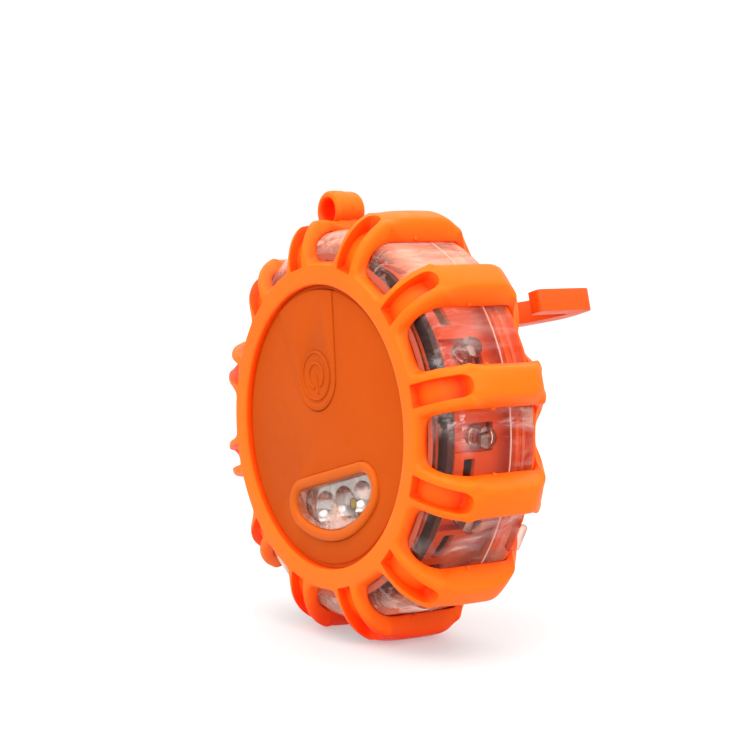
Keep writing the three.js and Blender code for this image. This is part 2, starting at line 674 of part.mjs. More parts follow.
// ---- hook ----
// A flat J: a knuckle on the pin, a stem that runs back and slants out, and a return tip.
function hookShape() {
  const { right, knuckle, bend, slant, back } = HOOK_REACH;
  const { inside, start } = HOOK_TIP;
  const left = HINGE.x0;
  const stemX = left + HOOK_WIDTH;
  const tipX = right - HOOK_WIDTH;
  const shape = new THREE.Shape();
  shape.moveTo(left, y(HINGE.depth));
  shape.lineTo(HINGE.x1, y(HINGE.depth));
  shape.lineTo(HINGE.x1, y(knuckle));
  shape.quadraticCurveTo(stemX, y(knuckle + 2), stemX, y(knuckle + 6));
  shape.lineTo(stemX, y(bend));
  shape.quadraticCurveTo(stemX + 0.6, y(bend + 2.9), left + 8, y(slant));
  shape.lineTo(tipX - 1.5, y(inside));
  shape.absarc(tipX - 0.9, y(inside - 0.9), 0.9, rad(120), 0, true);
  shape.lineTo(tipX, y(start));
  shape.absarc(tipX + 1, y(start), 1, Math.PI, 1.5 * Math.PI);
  shape.absarc(right - 1.2, y(start + 0.2), 1.2, 1.5 * Math.PI, 2 * Math.PI);
  shape.absarc(right - 2.6, y(back - 2.4), 2.6, 0, rad(100));
  shape.lineTo(left + 13, y(back));
  shape.quadraticCurveTo(left + 9.5, y(back - 0.4), left + 7, y(back - 2.4));
  shape.lineTo(left + 1.6, y(back - 7.4));
  shape.quadraticCurveTo(left, y(back - 9), left, y(back - 11.5));
  shape.closePath();
  return shape;
}

function hook() {
  const flat = new THREE.ExtrudeGeometry(hookShape(), {
    depth: HOOK_THICK,
    bevelEnabled: false,
    curveSegments: 5,
  });
  const plate = solid(flat.translate(0, 0, HINGE.z - HOOK_THICK / 2));
  const knuckle = crossRod(HOOK_THICK / 2, HINGE.x0, HINGE.x1, HINGE.depth, HINGE.z, 20);
  const bore = crossRod(HINGE.pinR + GAP, HINGE.x0 - 1, HINGE.x1 + 1, HINGE.depth, HINGE.z, 16);
  return cut(join(plate, knuckle), bore);
}

const hookPin = () =>
  crossRod(HINGE.pinR, HINGE.x0 - 1.3, HINGE.x1 + 2.3, HINGE.depth, HINGE.z, 16);

// ---- assembly ----
const RUBBER = paint(0xff7028, 0.5);
const CASE = paint(0xe66126, 0.62);
const CLEAR = paint(0xf2f4f5, 0.08, 0, 0.3);
const GREEN = paint(0x22352a, 0.5);
const STEEL = paint(0xb9bcc0, 0.3, 1);
const BLACK = paint(0x1b1b1d, 0.45);

const flare = new THREE.Group();
flare.rotation.y = -LEAN;

function place(name, made, material) {
  const mesh = new THREE.Mesh(geometryOf(made), material.clone());
  mesh.name = name;
  flare.add(mesh);
}

place("bumper_sleeve", bumperSleeve(), RUBBER);
place("lens_shell", lensShell(), CLEAR);
place("front_panel", frontPanel(), CASE);
place("power_button", powerButton(), CASE);
place("torch_bezel", torchBezel(), CASE);
place("torch_window", torchWindow(), CLEAR);
place("torch_reflector", torchReflector(), paint(0xd9dcdf, 0.12, 1));
for (let i = 0; i < 3; i += 1) {
  place(`torch_led_${i + 1}`, torchLed(i), paint(0xe8d24a, 0.4));
}
place("circuit_board", circuitBoard(), GREEN);
place("tact_switch", tactSwitch(), BLACK);
place("switch_plunger", switchPlunger(), BLACK);
BOARD_PARTS.forEach(([name, ...size]) => place(name, boardPart(...size), BLACK));
sideAngles.forEach((degrees, i) => {
  const number = String(i + 1).padStart(2, "0");
  place(`side_led_${number}`, sideLed(degrees), paint(0xeef0f2, 0.1));
});
place("led_drum", ledDrum(), CASE);
place("back_shell", backShell(), CASE);
place("seal_ring", sealRing(), BLACK);
POST.angles.forEach((angle, i) => {
  const [x, z] = polar(POST.circle, angle);
  place(`housing_screw_${i + 1}`, screw(x, z, HOUSING_SCREW), STEEL);
});
const cellPitch = 2 * BATTERY.r + 0.15;
for (let i = 0; i < 3; i += 1) {
  const x = BAY.x + (i - 1) * cellPitch;
  const nubUp = i !== 1;
  place(`battery_${i + 1}`, battery(x, nubUp), paint(0x30343a, 0.35));
  place(`battery_spring_${i + 1}`, contactSpring(x, !nubUp), STEEL);
}
CONTACTS.forEach(([name, ...span]) => place(name, contactPlate(...span), STEEL));
place("battery_lead_positive", lead(LEAD_ENDS.positive), paint(0xb01818, 0.5));
place("battery_lead_negative", lead(LEAD_ENDS.negative), BLACK);
place("battery_door", batteryDoor(), CASE);
place("door_gasket", doorGasket(), BLACK);
place("door_screw", screw(BAY.x, DOOR.lobeZ, DOOR_SCREW), STEEL);
place("magnet", magnet(), paint(0xa9acb0, 0.35, 1));
place("hook", hook(), paint(0xff6824, 0.5));
place("hook_pin", hookPin(), STEEL);

export default flare;
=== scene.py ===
"""LED safety flare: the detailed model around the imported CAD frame. Lengths are millimetres until placed."""
import math

import bmesh
import bpy
from mathutils import Matrix, Vector


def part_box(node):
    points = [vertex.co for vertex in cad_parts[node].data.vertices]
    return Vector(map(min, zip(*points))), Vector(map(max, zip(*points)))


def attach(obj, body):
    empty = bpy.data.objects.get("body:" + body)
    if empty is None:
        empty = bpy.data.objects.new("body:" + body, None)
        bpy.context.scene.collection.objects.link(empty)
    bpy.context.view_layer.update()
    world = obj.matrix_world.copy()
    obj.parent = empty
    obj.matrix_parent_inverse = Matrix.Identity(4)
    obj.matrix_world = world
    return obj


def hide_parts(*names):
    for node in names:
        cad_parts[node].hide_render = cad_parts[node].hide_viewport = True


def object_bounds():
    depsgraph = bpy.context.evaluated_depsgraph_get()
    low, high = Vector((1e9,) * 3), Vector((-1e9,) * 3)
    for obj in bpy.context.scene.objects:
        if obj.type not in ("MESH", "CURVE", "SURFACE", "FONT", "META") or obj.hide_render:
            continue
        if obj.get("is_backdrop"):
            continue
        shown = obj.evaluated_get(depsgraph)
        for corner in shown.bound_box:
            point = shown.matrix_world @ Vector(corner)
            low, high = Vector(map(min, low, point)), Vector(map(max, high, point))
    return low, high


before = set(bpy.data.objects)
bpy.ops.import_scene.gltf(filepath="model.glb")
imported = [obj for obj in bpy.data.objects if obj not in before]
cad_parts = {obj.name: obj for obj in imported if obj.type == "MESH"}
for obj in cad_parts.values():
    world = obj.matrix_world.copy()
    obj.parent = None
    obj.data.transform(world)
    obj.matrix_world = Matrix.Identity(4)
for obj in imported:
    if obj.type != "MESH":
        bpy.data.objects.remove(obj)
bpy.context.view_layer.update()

MM = 0.001
TOUCHING = 1e-5
LEAN = math.radians(15)
THICKNESS = -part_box("bumper_sleeve")[0].y / MM

# Places round the rim, in degrees anticlockwise from the right, seen from the front
RIBS, RIB_PITCH = 12, 30
LOOP_RIB_AT, FIRST_LED_AT = 90, 75

# The studio: strengths of the walls, ceiling, backdrop and floor, and the way to the backdrop
ROOM_LIGHT, CEILING_LIGHT, BACKDROP_LIGHT, FLOOR_GLOW = 0.5, 1.85, 1.04, 0.35
BACKDROP_SIDE = (-0.81, 0.58, 0)
FLOOR_REACH = 3

# The flare's own frame: x to the right, depth behind the front ring, z towards the hanging loop.
NATURAL = (
    Matrix.Rotation(-LEAN, 4, "Y")
    @ Matrix.Scale(MM, 4)
    @ Matrix.Translation((0, -THICKNESS, 0))
)

# Radii and depths shared by several pieces
RING_OUTER = 38.7
LOOP_RIB_R = 49.4
LOOP_Z = 52.3
LENS_R = 46.3
LENS_FRONT, LENS_BACK = 3, 27.2
SHOULDER_R, SHOULDER_DEPTH = 39.5, 9.2
PANEL_R, PANEL_FACE, PANEL_BACK = 33.1, 1.3, 3.6
BUTTON_R, BUTTON_Z, BUTTON_HALF, BUTTON_FACE, EMBLEM_Z = 8.3, 12.3, 11.8, 0.95, 12.3
TORCH_TOP, TORCH_CORNER, TORCH_SWEEP = -10.3, 6.2, 27
TORCH_ROW, TORCH_PITCH = -18.7, 8.0
LED_BASE, LED_TIP, LED_R, LED_FLANGE, LED_DEPTH = 36, 42.6, 2.5, 2.9, 18.3
BOARD_BACK = 9.4


# ---------------------------------------------------------------- camera, light, stage
def camera():
    """The camera stands in front of the flare, to its right, and a little above its middle."""
    azimuth, elevation = math.radians(54.5), math.radians(6.1)
    distance, across, up_by = 0.470, 0.01896, -0.0006
    back = Vector((
        math.sin(azimuth) * math.cos(elevation),
        -math.cos(azimuth) * math.cos(elevation),
        math.sin(elevation),
    ))
    right = Vector((math.cos(azimuth), math.sin(azimuth), 0))
    up = back.cross(right)
    front_centre = Vector((0, -THICKNESS * MM, 0))
    place = front_centre + right * across + up * up_by + back * distance
    data = bpy.data.cameras.new("camera")
    data.sensor_width = 36
    data.lens = 96
    data.shift_x = -1 / 30
    data.shift_y = 11 / 150
    data.clip_start = 0.01
    cam = bpy.data.objects.new("camera", data)
    cam.matrix_world = Matrix.Translation(place) @ Matrix((right, up, back)).transposed().to_4x4()
    bpy.context.scene.collection.objects.link(cam)
    bpy.context.scene.camera = cam


def hang_lamp(name, data, towards, place=(0, 0, 0)):
    """Hangs a light so that it shines along a direction."""
    lamp = bpy.data.objects.new(name, data)
    lamp.location = place
    lamp.rotation_euler = towards.to_track_quat("-Z", "Y").to_euler()
    bpy.context.scene.collection.objects.link(lamp)


def area_light(name, place, size, power):
    """A round soft light that looks at the flare."""
    data = bpy.data.lights.new(name, "AREA")
    data.shape = "DISK"
    data.size = size
    data.energy = power
    hang_lamp(name, data, -Vector(place), place)


def sun_light(power, spread, towards):
    data = bpy.data.lights.new("sun", "SUN")
    data.energy = power
    data.angle = math.radians(spread)
    hang_lamp("sun", data, Vector(towards))


def room():
    """The surroundings: plain walls, a bright ceiling and a white backdrop on one side."""
    world = bpy.data.worlds.new("studio")
    bpy.context.scene.world = world
    world.use_nodes = True
    tree = world.node_tree
    direction = node(tree, "ShaderNodeTexCoord").outputs["Generated"]
    towards = node(tree, "ShaderNodeVectorMath", operation="DOT_PRODUCT")
    towards.inputs[1].default_value = BACKDROP_SIDE
    tree.links.new(direction, towards.inputs[0])
    backdrop = ramp(tree, towards.outputs["Value"], ROOM_LIGHT, BACKDROP_LIGHT, 0.55, 0.9)
    ceiling = ramp(tree, upward(tree, direction), ROOM_LIGHT, CEILING_LIGHT, 0.25, 0.7)
    background = tree.nodes["Background"]
    background.inputs["Color"].default_value = (1, 1, 1, 1)
    tree.links.new(calculate(tree, "MAXIMUM", backdrop, ceiling), background.inputs["Strength"])


def lay_floor():
    """A plain pale floor under the flare."""
    floor_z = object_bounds()[0][2]
    corners = [(-1, -1), (1, -1), (1, 1), (-1, 1)]
    mesh = bpy.data.meshes.new("floor")
    mesh.from_pydata([(x * FLOOR_REACH, y * FLOOR_REACH, floor_z) for x, y in corners], [], [(0, 1, 2, 3)])
    floor = bpy.data.objects.new("floor", mesh)
    bpy.context.scene.collection.objects.link(floor)
    floor.data.materials.append(floor_paint())
    floor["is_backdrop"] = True


def studio():
    bpy.context.scene.view_settings.view_transform = "Standard"
    room()
    sun_light(1.0, 35, (-0.15, 0.3, -1))
    area_light("front", (0.35, -0.6, 0.3), 0.5, 1.7)
    area_light("side", (0.7, 0.05, 0.3), 0.4, 1.2)
    lay_floor()


# ---------------------------------------------------------------- materials
def new_material(name, colour, roughness):
    material = bpy.data.materials.new(name)
    material.use_nodes = True
    shader = material.node_tree.nodes["Principled BSDF"]
    shader.inputs["Base Color"].default_value = (*colour, 1)
    shader.inputs["Roughness"].default_value = roughness
    return material, material.node_tree, shader


def node(tree, kind, **settings):
    made = tree.nodes.new(kind)
    for key, value in settings.items():
        if key in made.inputs:
            made.inputs[key].default_value = value
        else:
            setattr(made, key, value)
    return made


def noise(tree, scale, detail=3):
    place = node(tree, "ShaderNodeTexCoord")
    made = node(tree, "ShaderNodeTexNoise", Scale=scale, Detail=detail)
    tree.links.new(place.outputs["Object"], made.inputs["Vector"])
    return made.outputs["Fac"]


def streaks(tree):
    """Slow waves with fine flow lines along the flare's axis."""
    place = node(tree, "ShaderNodeTexCoord")
    stretch = node(tree, "ShaderNodeMapping")
    stretch.inputs["Scale"].default_value = (1, 0.22, 1)
    lines = node(tree, "ShaderNodeTexNoise", Scale=260, Detail=4, Distortion=0.6)
    tree.links.new(place.outputs["Object"], stretch.inputs["Vector"])
    tree.links.new(stretch.outputs["Vector"], lines.inputs["Vector"])
    return calculate(tree, "ADD", noise(tree, 70, 1), lines.outputs["Fac"])


def ramp(tree, source, low, high, start=0.35, end=0.65):
    """A value that runs from low to high while the source runs from start to end."""
    made = node(tree, "ShaderNodeMapRange")
    made.inputs["From Min"].default_value = start
    made.inputs["From Max"].default_value = end
    made.inputs["To Min"].default_value = low
    made.inputs["To Max"].default_value = high
    tree.links.new(source, made.inputs["Value"])
    return made.outputs["Result"]


def blend_colours(tree, factor, first, second):
    """Mixes two colours; the first may be a socket. The node's colour sockets are found by their places."""
    made = node(tree, "ShaderNodeMix", data_type="RGBA")
    mix_factor, mix_first, mix_second = made.inputs[0], made.inputs[6], made.inputs[7]
    tree.links.new(factor, mix_factor)
    if isinstance(first, tuple):
        mix_first.default_value = (*first, 1)
    else:
        tree.links.new(first, mix_first)
    mix_second.default_value = (*second, 1)
    return made.outputs[2]


def calculate(tree, operation, first, second, clamp=False):
    """The result of a sum on two values, each of them a socket or a number."""
    made = node(tree, "ShaderNodeMath", operation=operation, use_clamp=clamp)
    for value, socket in zip((first, second), made.inputs):
        if isinstance(value, (int, float)):
            socket.default_value = value
        else:
            tree.links.new(value, socket)
    return made.outputs[0]


def upward(tree, direction):
    """How far a direction points up."""
    made = node(tree, "ShaderNodeSeparateXYZ")
    tree.links.new(direction, made.inputs[0])
    return made.outputs["Z"]


def mix_shaders(tree, factor, first, second):
    made = node(tree, "ShaderNodeMixShader")
    for source, socket in zip((factor, first, second), made.inputs):
        tree.links.new(source, socket)
    return made.outputs[0]


def bump(tree, shader, height, strength, distance):
    made = node(tree, "ShaderNodeBump", Strength=strength, Distance=distance)
    tree.links.new(height, made.inputs["Height"])
    tree.links.new(made.outputs["Normal"], shader.inputs["Normal"])


def moulded(name, colour, deep, roughness, grain, grain_depth, subsurface=0.0, specular=0.25, painted_hollow_shade=None):
    """Coloured moulding: slow colour drift, fine grain, uneven gloss and, if given, painted shade: a deeper
    colour mixed in where hollows and undersides lie in shade.
    """
    material, tree, shader = new_material(name, colour, roughness)
    drift = ramp(tree, noise(tree, 45), 0, 1)
    tint = blend_colours(tree, drift, colour, deep)
    if painted_hollow_shade:
        # Painted shade: ambient occlusion mixes in a deeper red in pockets, hollows and undersides, where
        # shade falls.
        openness = node(tree, "ShaderNodeAmbientOcclusion", samples=8, Distance=0.012).outputs["AO"]
        tint = blend_colours(tree, ramp(tree, openness, 1, 0, 0.3, 0.95), tint, painted_hollow_shade)
    tree.links.new(tint, shader.inputs["Base Color"])
    gloss = ramp(tree, noise(tree, 320), roughness - 0.05, roughness + 0.06)
    tree.links.new(gloss, shader.inputs["Roughness"])
    bump(tree, shader, noise(tree, grain, 2), 0.5, grain_depth)
    shader.inputs["Specular IOR Level"].default_value = specular
    if subsurface:
        shader.inputs["Subsurface Weight"].default_value = subsurface
        shader.inputs["Subsurface Radius"].default_value = (0.003, 0.0006, 0.0002)
    return material


def floor_paint():
    material, tree, shader = new_material("floor", (0.42, 0.42, 0.42), 0.6)
    gloss = ramp(tree, noise(tree, 8), 0.5, 0.65)
    tree.links.new(gloss, shader.inputs["Roughness"])
    shader.inputs["Emission Color"].default_value = (1, 1, 1, 1)
    shader.inputs["Emission Strength"].default_value = FLOOR_GLOW
    return material


def clear_plastic(name, tint, haze, glancing, dust, veil_colour=(0.95, 0.46, 0.31)):
    """Thin clear plastic: see-through face on, veiled and mirroring at a glance, dusty on top, scratched."""
    material, tree, veil = new_material(name, veil_colour, 0.25)
    seen = node(tree, "ShaderNodeNewGeometry")
    flow = streaks(tree)

    mirror = node(tree, "ShaderNodeBsdfGlossy", Roughness=0.07)
    bump(tree, mirror, flow, 1.0, 0.001)
    outside = calculate(tree, "SUBTRACT", 1, seen.outputs["Backfacing"])
    reflected = calculate(tree, "MULTIPLY", node(tree, "ShaderNodeFresnel", IOR=1.7).outputs[0], outside)
    shine = calculate(tree, "MULTIPLY", reflected, ramp(tree, flow, 0.35, 2.2, 0.95, 1.2), clamp=True)

    glance = node(tree, "ShaderNodeLayerWeight", Blend=0.5).outputs["Facing"]
    milky = ramp(tree, glance, haze, glancing, 0.38, 0.72)
    settled = ramp(tree, upward(tree, seen.outputs["Normal"]), 0, dust, 0.45, 0.95)
    patches = ramp(tree, flow, 0.45, 1.35, 0.75, 1.25)
    uneven = calculate(tree, "MULTIPLY", calculate(tree, "ADD", milky, settled), patches)
    scratches = ramp(tree, flow, 0, 0.35, 1.19, 1.27)
    cover = calculate(tree, "ADD", uneven, scratches, clamp=True)

    through = node(tree, "ShaderNodeBsdfTransparent", Color=(*tint, 1))
    veiled = mix_shaders(tree, cover, through.outputs[0], veil.outputs[0])
    surface = mix_shaders(tree, shine, veiled, mirror.outputs[0])
    tree.links.new(surface, tree.nodes["Material Output"].inputs["Surface"])
    return material


def led_glass():
    """Solid epoxy that bends light, with faint flow marks."""
    material, tree, shader = new_material("led_epoxy", (0.74, 0.60, 0.58), 0.03)
    shader.inputs["Transmission Weight"].default_value = 1
    shader.inputs["IOR"].default_value = 1.52
    bump(tree, shader, noise(tree, 700, 1), 0.15, 0.0002)
    return material


def metal(name, colour, roughness, brushed=200):
    material, tree, shader = new_material(name, colour, roughness)
    shader.inputs["Metallic"].default_value = 1
    gloss = ramp(tree, noise(tree, brushed), max(0.02, roughness - 0.06), roughness + 0.08)
    tree.links.new(gloss, shader.inputs["Roughness"])
    return material


# The sleeve's rubber carries painted shade: a deep red in its pockets and under its ribs.
RUBBER = moulded("rubber_orange", (0.93, 0.155, 0.003), (0.91, 0.140, 0.003), 0.42, 900, 0.00003,
                 subsurface=0.15, specular=0.12, painted_hollow_shade=(0.95, 0.035, 0.001))
PANEL = moulded("panel_orange", (0.53, 0.077, 0.004), (0.51, 0.070, 0.003), 0.6, 1600, 0.00006, specular=0.06)
BUTTON = moulded("button_orange", (0.53, 0.077, 0.004), (0.515, 0.071, 0.003), 0.58, 1400, 0.00004,
                 specular=0.06)
BEZEL = moulded("bezel_orange", (0.60, 0.105, 0.004), (0.58, 0.096, 0.003), 0.45, 1200, 0.00004,
                specular=0.12)
DRUM = moulded("drum_orange", (0.95, 0.13, 0.018), (0.88, 0.11, 0.014), 0.45, 900, 0.00004)
CASE = moulded("case_orange", (0.80, 0.115, 0.009), (0.76, 0.104, 0.008), 0.5, 900, 0.00004, specular=0.16)
HOOK = moulded("hook_orange", (0.78, 0.084, 0.005), (0.74, 0.075, 0.004), 0.4, 700, 0.00003, specular=0.16)
CLEAR = clear_plastic("lens_clear", (1.0, 0.92, 0.87), 0.006, 0.5, 0.3)
LUG = clear_plastic("lug_clear", (1.0, 0.80, 0.72), 0.02, 1.0, 0, (0.42, 0.06, 0.03))
WINDOW = clear_plastic("window_clear", (0.97, 0.95, 0.93), 0.01, 0.2, 0)
EPOXY = led_glass()
FROST = moulded("frosted_weld", (0.5, 0.11, 0.06), (0.42, 0.09, 0.05), 0.3, 900, 0.00003)
WELD = moulded("weld_line", (0.78, 0.48, 0.40), (0.72, 0.4, 0.32), 0.3, 900, 0.00003)
GASKET = moulded("silicone_seal", (0.85, 0.16, 0.06), (0.8, 0.13, 0.05), 0.5, 900, 0.00003)
CHROME = metal("chrome", (0.42, 0.42, 0.43), 0.1)
STEEL = metal("steel", (0.62, 0.62, 0.64), 0.28)
NICKEL = metal("nickel", (0.66, 0.66, 0.68), 0.22)
BOARD = moulded("board_mask", (0.11, 0.035, 0.028), (0.055, 0.02, 0.016), 0.4, 500, 0.00005)
BLACK = moulded("black_moulding", (0.02, 0.02, 0.022), (0.03, 0.03, 0.03), 0.45, 800, 0.00004)
SEAL = moulded("seal_rubber", (0.03, 0.03, 0.03), (0.045, 0.045, 0.045), 0.7, 900, 0.00005)
CELL = moulded("cell_sleeve", (0.03, 0.04, 0.06), (0.05, 0.06, 0.08), 0.3, 300, 0.00002)
RED_WIRE = moulded("wire_red", (0.5, 0.02, 0.015), (0.42, 0.015, 0.01), 0.4, 400, 0.00002)
PHOSPHOR = moulded("phosphor", (0.5, 0.42, 0.10), (0.42, 0.34, 0.06), 0.35, 500, 0.00003)


# ---------------------------------------------------------------- mesh tools
def make(name, verts, faces):
    mesh = bpy.data.meshes.new(name)
    mesh.from_pydata(verts, [], faces)
    made = bmesh.new()
    made.from_mesh(mesh)
    bmesh.ops.remove_doubles(made, verts=made.verts, dist=TOUCHING)
    bmesh.ops.recalc_face_normals(made, faces=made.faces)
    made.to_mesh(mesh)
    made.free()
    obj = bpy.data.objects.new(name, mesh)
    bpy.context.scene.collection.objects.link(obj)
    return obj


def settle(obj):
    """Applies obj's modifiers."""
    graph = bpy.context.evaluated_depsgraph_get()
    mesh = bpy.data.meshes.new_from_object(obj.evaluated_get(graph))
    obj.modifiers.clear()
    obj.data = mesh
    return obj


def hand_over(obj, body, nodes, material, sharp):
    """Shades a piece that is in its place and hands it to the frame."""
    for face in obj.data.polygons:
        face.use_smooth = True
    obj.data.set_sharp_from_angle(angle=math.radians(sharp))
    obj.data.materials.clear()
    obj.data.materials.append(material)
    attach(obj, body)
    if nodes:
        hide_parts(*nodes)


def finish_piece(obj, body, nodes, material, sharp=35):
    """Puts a piece made in the flare's own frame in its place and hands it over."""
    obj.data.transform(NATURAL)
    hand_over(obj, body, nodes, material, sharp)


def fillet(points, radius, steps):
    """The polygon with each corner rounded; a point may carry its own radius as a third number."""
    out = []
    count = len(points)
    for i, point in enumerate(points):
        here = Vector(point[:2])
        r = point[2] if len(point) > 2 else radius
        if r <= 0:
            out.append(tuple(here))
            continue
        before = Vector(points[i - 1][:2]) - here
        after = Vector(points[(i + 1) % count][:2]) - here
        turn = before.angle(after)
        run = min(r / math.tan(turn / 2), 0.49 * before.length, 0.49 * after.length)
        start = here + before.normalized() * run
        end = here + after.normalized() * run
        for k in range(steps + 1):
            t = k / steps
            out.append(tuple(start * (1 - t) ** 2 + here * 2 * t * (1 - t) + end * t**2))
    return out


def lathe(name, profile, segments=180):
    """A closed [radius, depth] profile turned about the flare's axis."""
    verts, faces, n = [], [], len(profile)
    for s in range(segments):
        a = 2 * math.pi * s / segments
        verts += [(r * math.cos(a), depth, r * math.sin(a)) for r, depth in profile]
    for s in range(segments):
        a, b = s * n, ((s + 1) % segments) * n
        for i in range(n):
            j = (i + 1) % n
            if profile[i][0] < 1e-6 and profile[j][0] < 1e-6:
                continue
            faces.append((a + i, a + j, b + j, b + i))
    obj = make(name, verts, faces)
    drop_degenerate(obj)
    return obj


def drop_degenerate(obj):
    made = bmesh.new()
    made.from_mesh(obj.data)
    bmesh.ops.dissolve_degenerate(made, dist=TOUCHING, edges=made.edges)
    bmesh.ops.recalc_face_normals(made, faces=made.faces)
    made.to_mesh(obj.data)
    made.free()


def loft(name, levels, ring=False):
    """A solid through [outline, depth] levels of equally many points; a ring's last level meets its first."""
    verts, faces, n = [], [], len(levels[0][0])
    for outline, depth in levels:
        verts += [(x, depth, z) for x, z in outline]
    count = len(levels)
    for k in range(count if ring else count - 1):
        a, b = k * n, ((k + 1) % count) * n
        faces += [(a + i, a + (i + 1) % n, b + (i + 1) % n, b + i) for i in range(n)]
    if not ring:
        faces.append(tuple(range(n)))
        faces.append(tuple(range((count - 1) * n, count * n)))
    return make(name, verts, faces)


def cut(obj, *tools):
    for tool in tools:
        modifier = obj.modifiers.new("cut", "BOOLEAN")
        modifier.operation = "DIFFERENCE"
        modifier.solver = "EXACT"
        modifier.object = tool
    settle(obj)
    for tool in tools:
        bpy.data.objects.remove(tool)
    return obj


def join_meshes(name, *objects):
    made = bmesh.new()
    for obj in objects:
        made.from_mesh(obj.data)
        bpy.data.objects.remove(obj)
    mesh = bpy.data.meshes.new(name)
    made.to_mesh(mesh)
    made.free()
    obj = bpy.data.objects.new(name, mesh)
    bpy.context.scene.collection.objects.link(obj)
    return obj


def polar(r, degrees):
    return r * math.cos(math.radians(degrees)), r * math.sin(math.radians(degrees))


def on_rim(obj, degrees):
    """Turns a mesh made at the top of the flare to another place on its rim."""
    obj.data.transform(Matrix.Rotation(math.radians(90 - degrees), 4, "Y"))
    return obj


# ---------------------------------------------------------------- bumper sleeve
# Rows run from the front ring's inner edge to the rear ring's inner edge.
# Each is [crest radius, crest depth, base radius, base depth, pocket depth, pocket half-width].
SLEEVE_ROWS = [
    (33.4, 2.6, 33.5, 2.66, 0, 0),
    (33.4, 1.0, 33.9, 2.66, 0, 0),
    (33.52, 0.26, 34.3, 2.66, 0, 0),
    (34.1, 0.0, 34.9, 2.66, 0, 0),
    (36.4, 0.0, 36.4, 2.66, 0, 0),
    (38.0, 0.0, 37.6, 2.66, 0, 2.6),
    (38.2, 0.02, 38.1, 2.66, 2.1, 2.6),
    (40.2, 0.14, 39.3, 2.7, 2.2, 2.6),
    (42.7, 0.66, 40.9, 2.9, 2.2, 2.6),
    (45.2, 1.7, 42.9, 3.6, 2.3, 2.6),
    (47.3, 2.95, 44.5, 4.7, 2.6, 2.55),
    (49.0, 4.45, 45.6, 6.1, 3.1, 2.5),
    (50.15, 5.85, 46.1, 7.3, 3.5, 2.5),
    (50.85, 7.05, 46.4, 8.3, 3.8, 2.3),
    (51.2, 7.85, 46.5, 8.9, 0, 2.05),
    (51.8, 10.6, 46.5, 11.2, 0, 0),
    (52.0, 16.5, 46.5, 16.5, 0, 0),
    (52.0, 22.0, 46.5, 22.0, 0, 0),
    (51.9, 24.6, 46.5, 24.4, 0, 0),
    (51.3, 26.1, 46.5, 25.8, 0, 0),
    (50.6, 27.3, 46.45, 27.2, 0, 0),
    (49.7, 28.5, 46.15, 27.9, 0, 2.0),
    (48.6, 29.6, 45.35, 28.5, 1.0, 2.4),
    (46.9, 30.8, 44.35, 29.3, 0.9, 2.4),
    (45.4, 31.95, 43.4, 30.1, 0.7, 2.4),
    (44.0, 32.72, 42.6, 30.75, 0.4, 2.4),
    (43.1, 33.1, 41.8, 31.2, 0, 2.4),
    (41.6, 33.5, 40.9, 31.5, 0, 0),
    (39.8, 33.6, 39.9, 31.7, 0, 0),
    (39.2, 33.4, 39.4, 31.8, 0, 0),
    (38.95, 32.9, 39.1, 31.85, 0, 0),
    (38.95, 31.95, 39.0, 31.9, 0, 0),
]
FRONT_EDGE = 8
REAR_EDGE = len(SLEEVE_ROWS) - 9
POCKET_START = FRONT_EDGE - 3
POCKET_END = 14
# Half a rib: distance from its middle, and share of its height, column by column
CROWN_ACROSS = (0, 1.5, 2.4, 3.0, 3.5, 4.15, 4.7, 4.95)
CROWN_SHARE = (1.0, 1.0, 0.985, 0.96, 0.9, 0.7, 0.36, 0.06)
# The same where the rib has a pocket, whose columns are shares of its half-width
RAIL_ACROSS = (0, 1.3, 2.1, 2.5, 3.4, 4.35, 4.82, 4.95)
RAIL_SHARE = (0, 0, 0.04, 1.0, 1.0, 0.93, 0.5, 0.06)
POCKET_COLUMNS = (0, 0.52, 0.92, 1.02)
FLOOR_COLUMN, RIM_COLUMN, CORNER_COLUMN = 2, 3, 5
# The same in the front and rear rings
RING_ACROSS = (0, 1.3, 2.1, 2.6, 3.3, 4.3, 5.3, 6.4)
RING_POCKET_COLUMNS = (0, 0.52, 0.85, 1.02)
WINDOW_ACROSS = (8.0, 10.02)
EDGE_COLUMN = len(CROWN_ACROSS) - 1
RIM_CREASE, FLOOR_CREASE = 0.75, 0.6
# How the pocket's floor dishes, how the base tucks in by each column at a corner, and how it narrows
FLOOR_DISH, FRONT_TUCK, REAR_TUCK, REAR_DROP, BASE_TAPER = 0.02, 0.5, 0.6, 0.25, 0.985
# Where a rib's last three columns turn the corner into a ring: {row: [[across, radius, depth] ...]}
CORNERS = {
    FRONT_EDGE - 2: ((4.4, 38.25, 0.05), (5.2, 38.28, 0.1), (6.0, 38.3, 0.14)),
    FRONT_EDGE - 1: ((4.3, 40.0, 0.32), (4.9, 39.3, 0.75), (5.5, 38.8, 1.0)),
    FRONT_EDGE: ((4.3, 42.0, 1.0), (4.8, 40.8, 1.9), (5.1, 39.4, 2.72)),
    REAR_EDGE: ((4.25, 46.0, 30.5), (4.9, 44.7, 30.3), (5.7, 43.3, 30.5)),
    REAR_EDGE + 1: ((4.3, 44.9, 31.6), (4.95, 43.9, 31.3), (6.0, 42.7, 31.15)),
    REAR_EDGE + 2: ((4.4, 43.8, 32.4), (5.3, 43.1, 32.1), (6.6, 41.9, 31.8)),
    REAR_EDGE + 3: ((4.8, 42.9, 33.0), (5.9, 42.4, 32.8), (7.1, 41.6, 32.45)),
    REAR_EDGE + 4: ((4.6, 41.5, 33.45), (5.7, 41.2, 33.3), (6.9, 40.8, 33.05)),
}
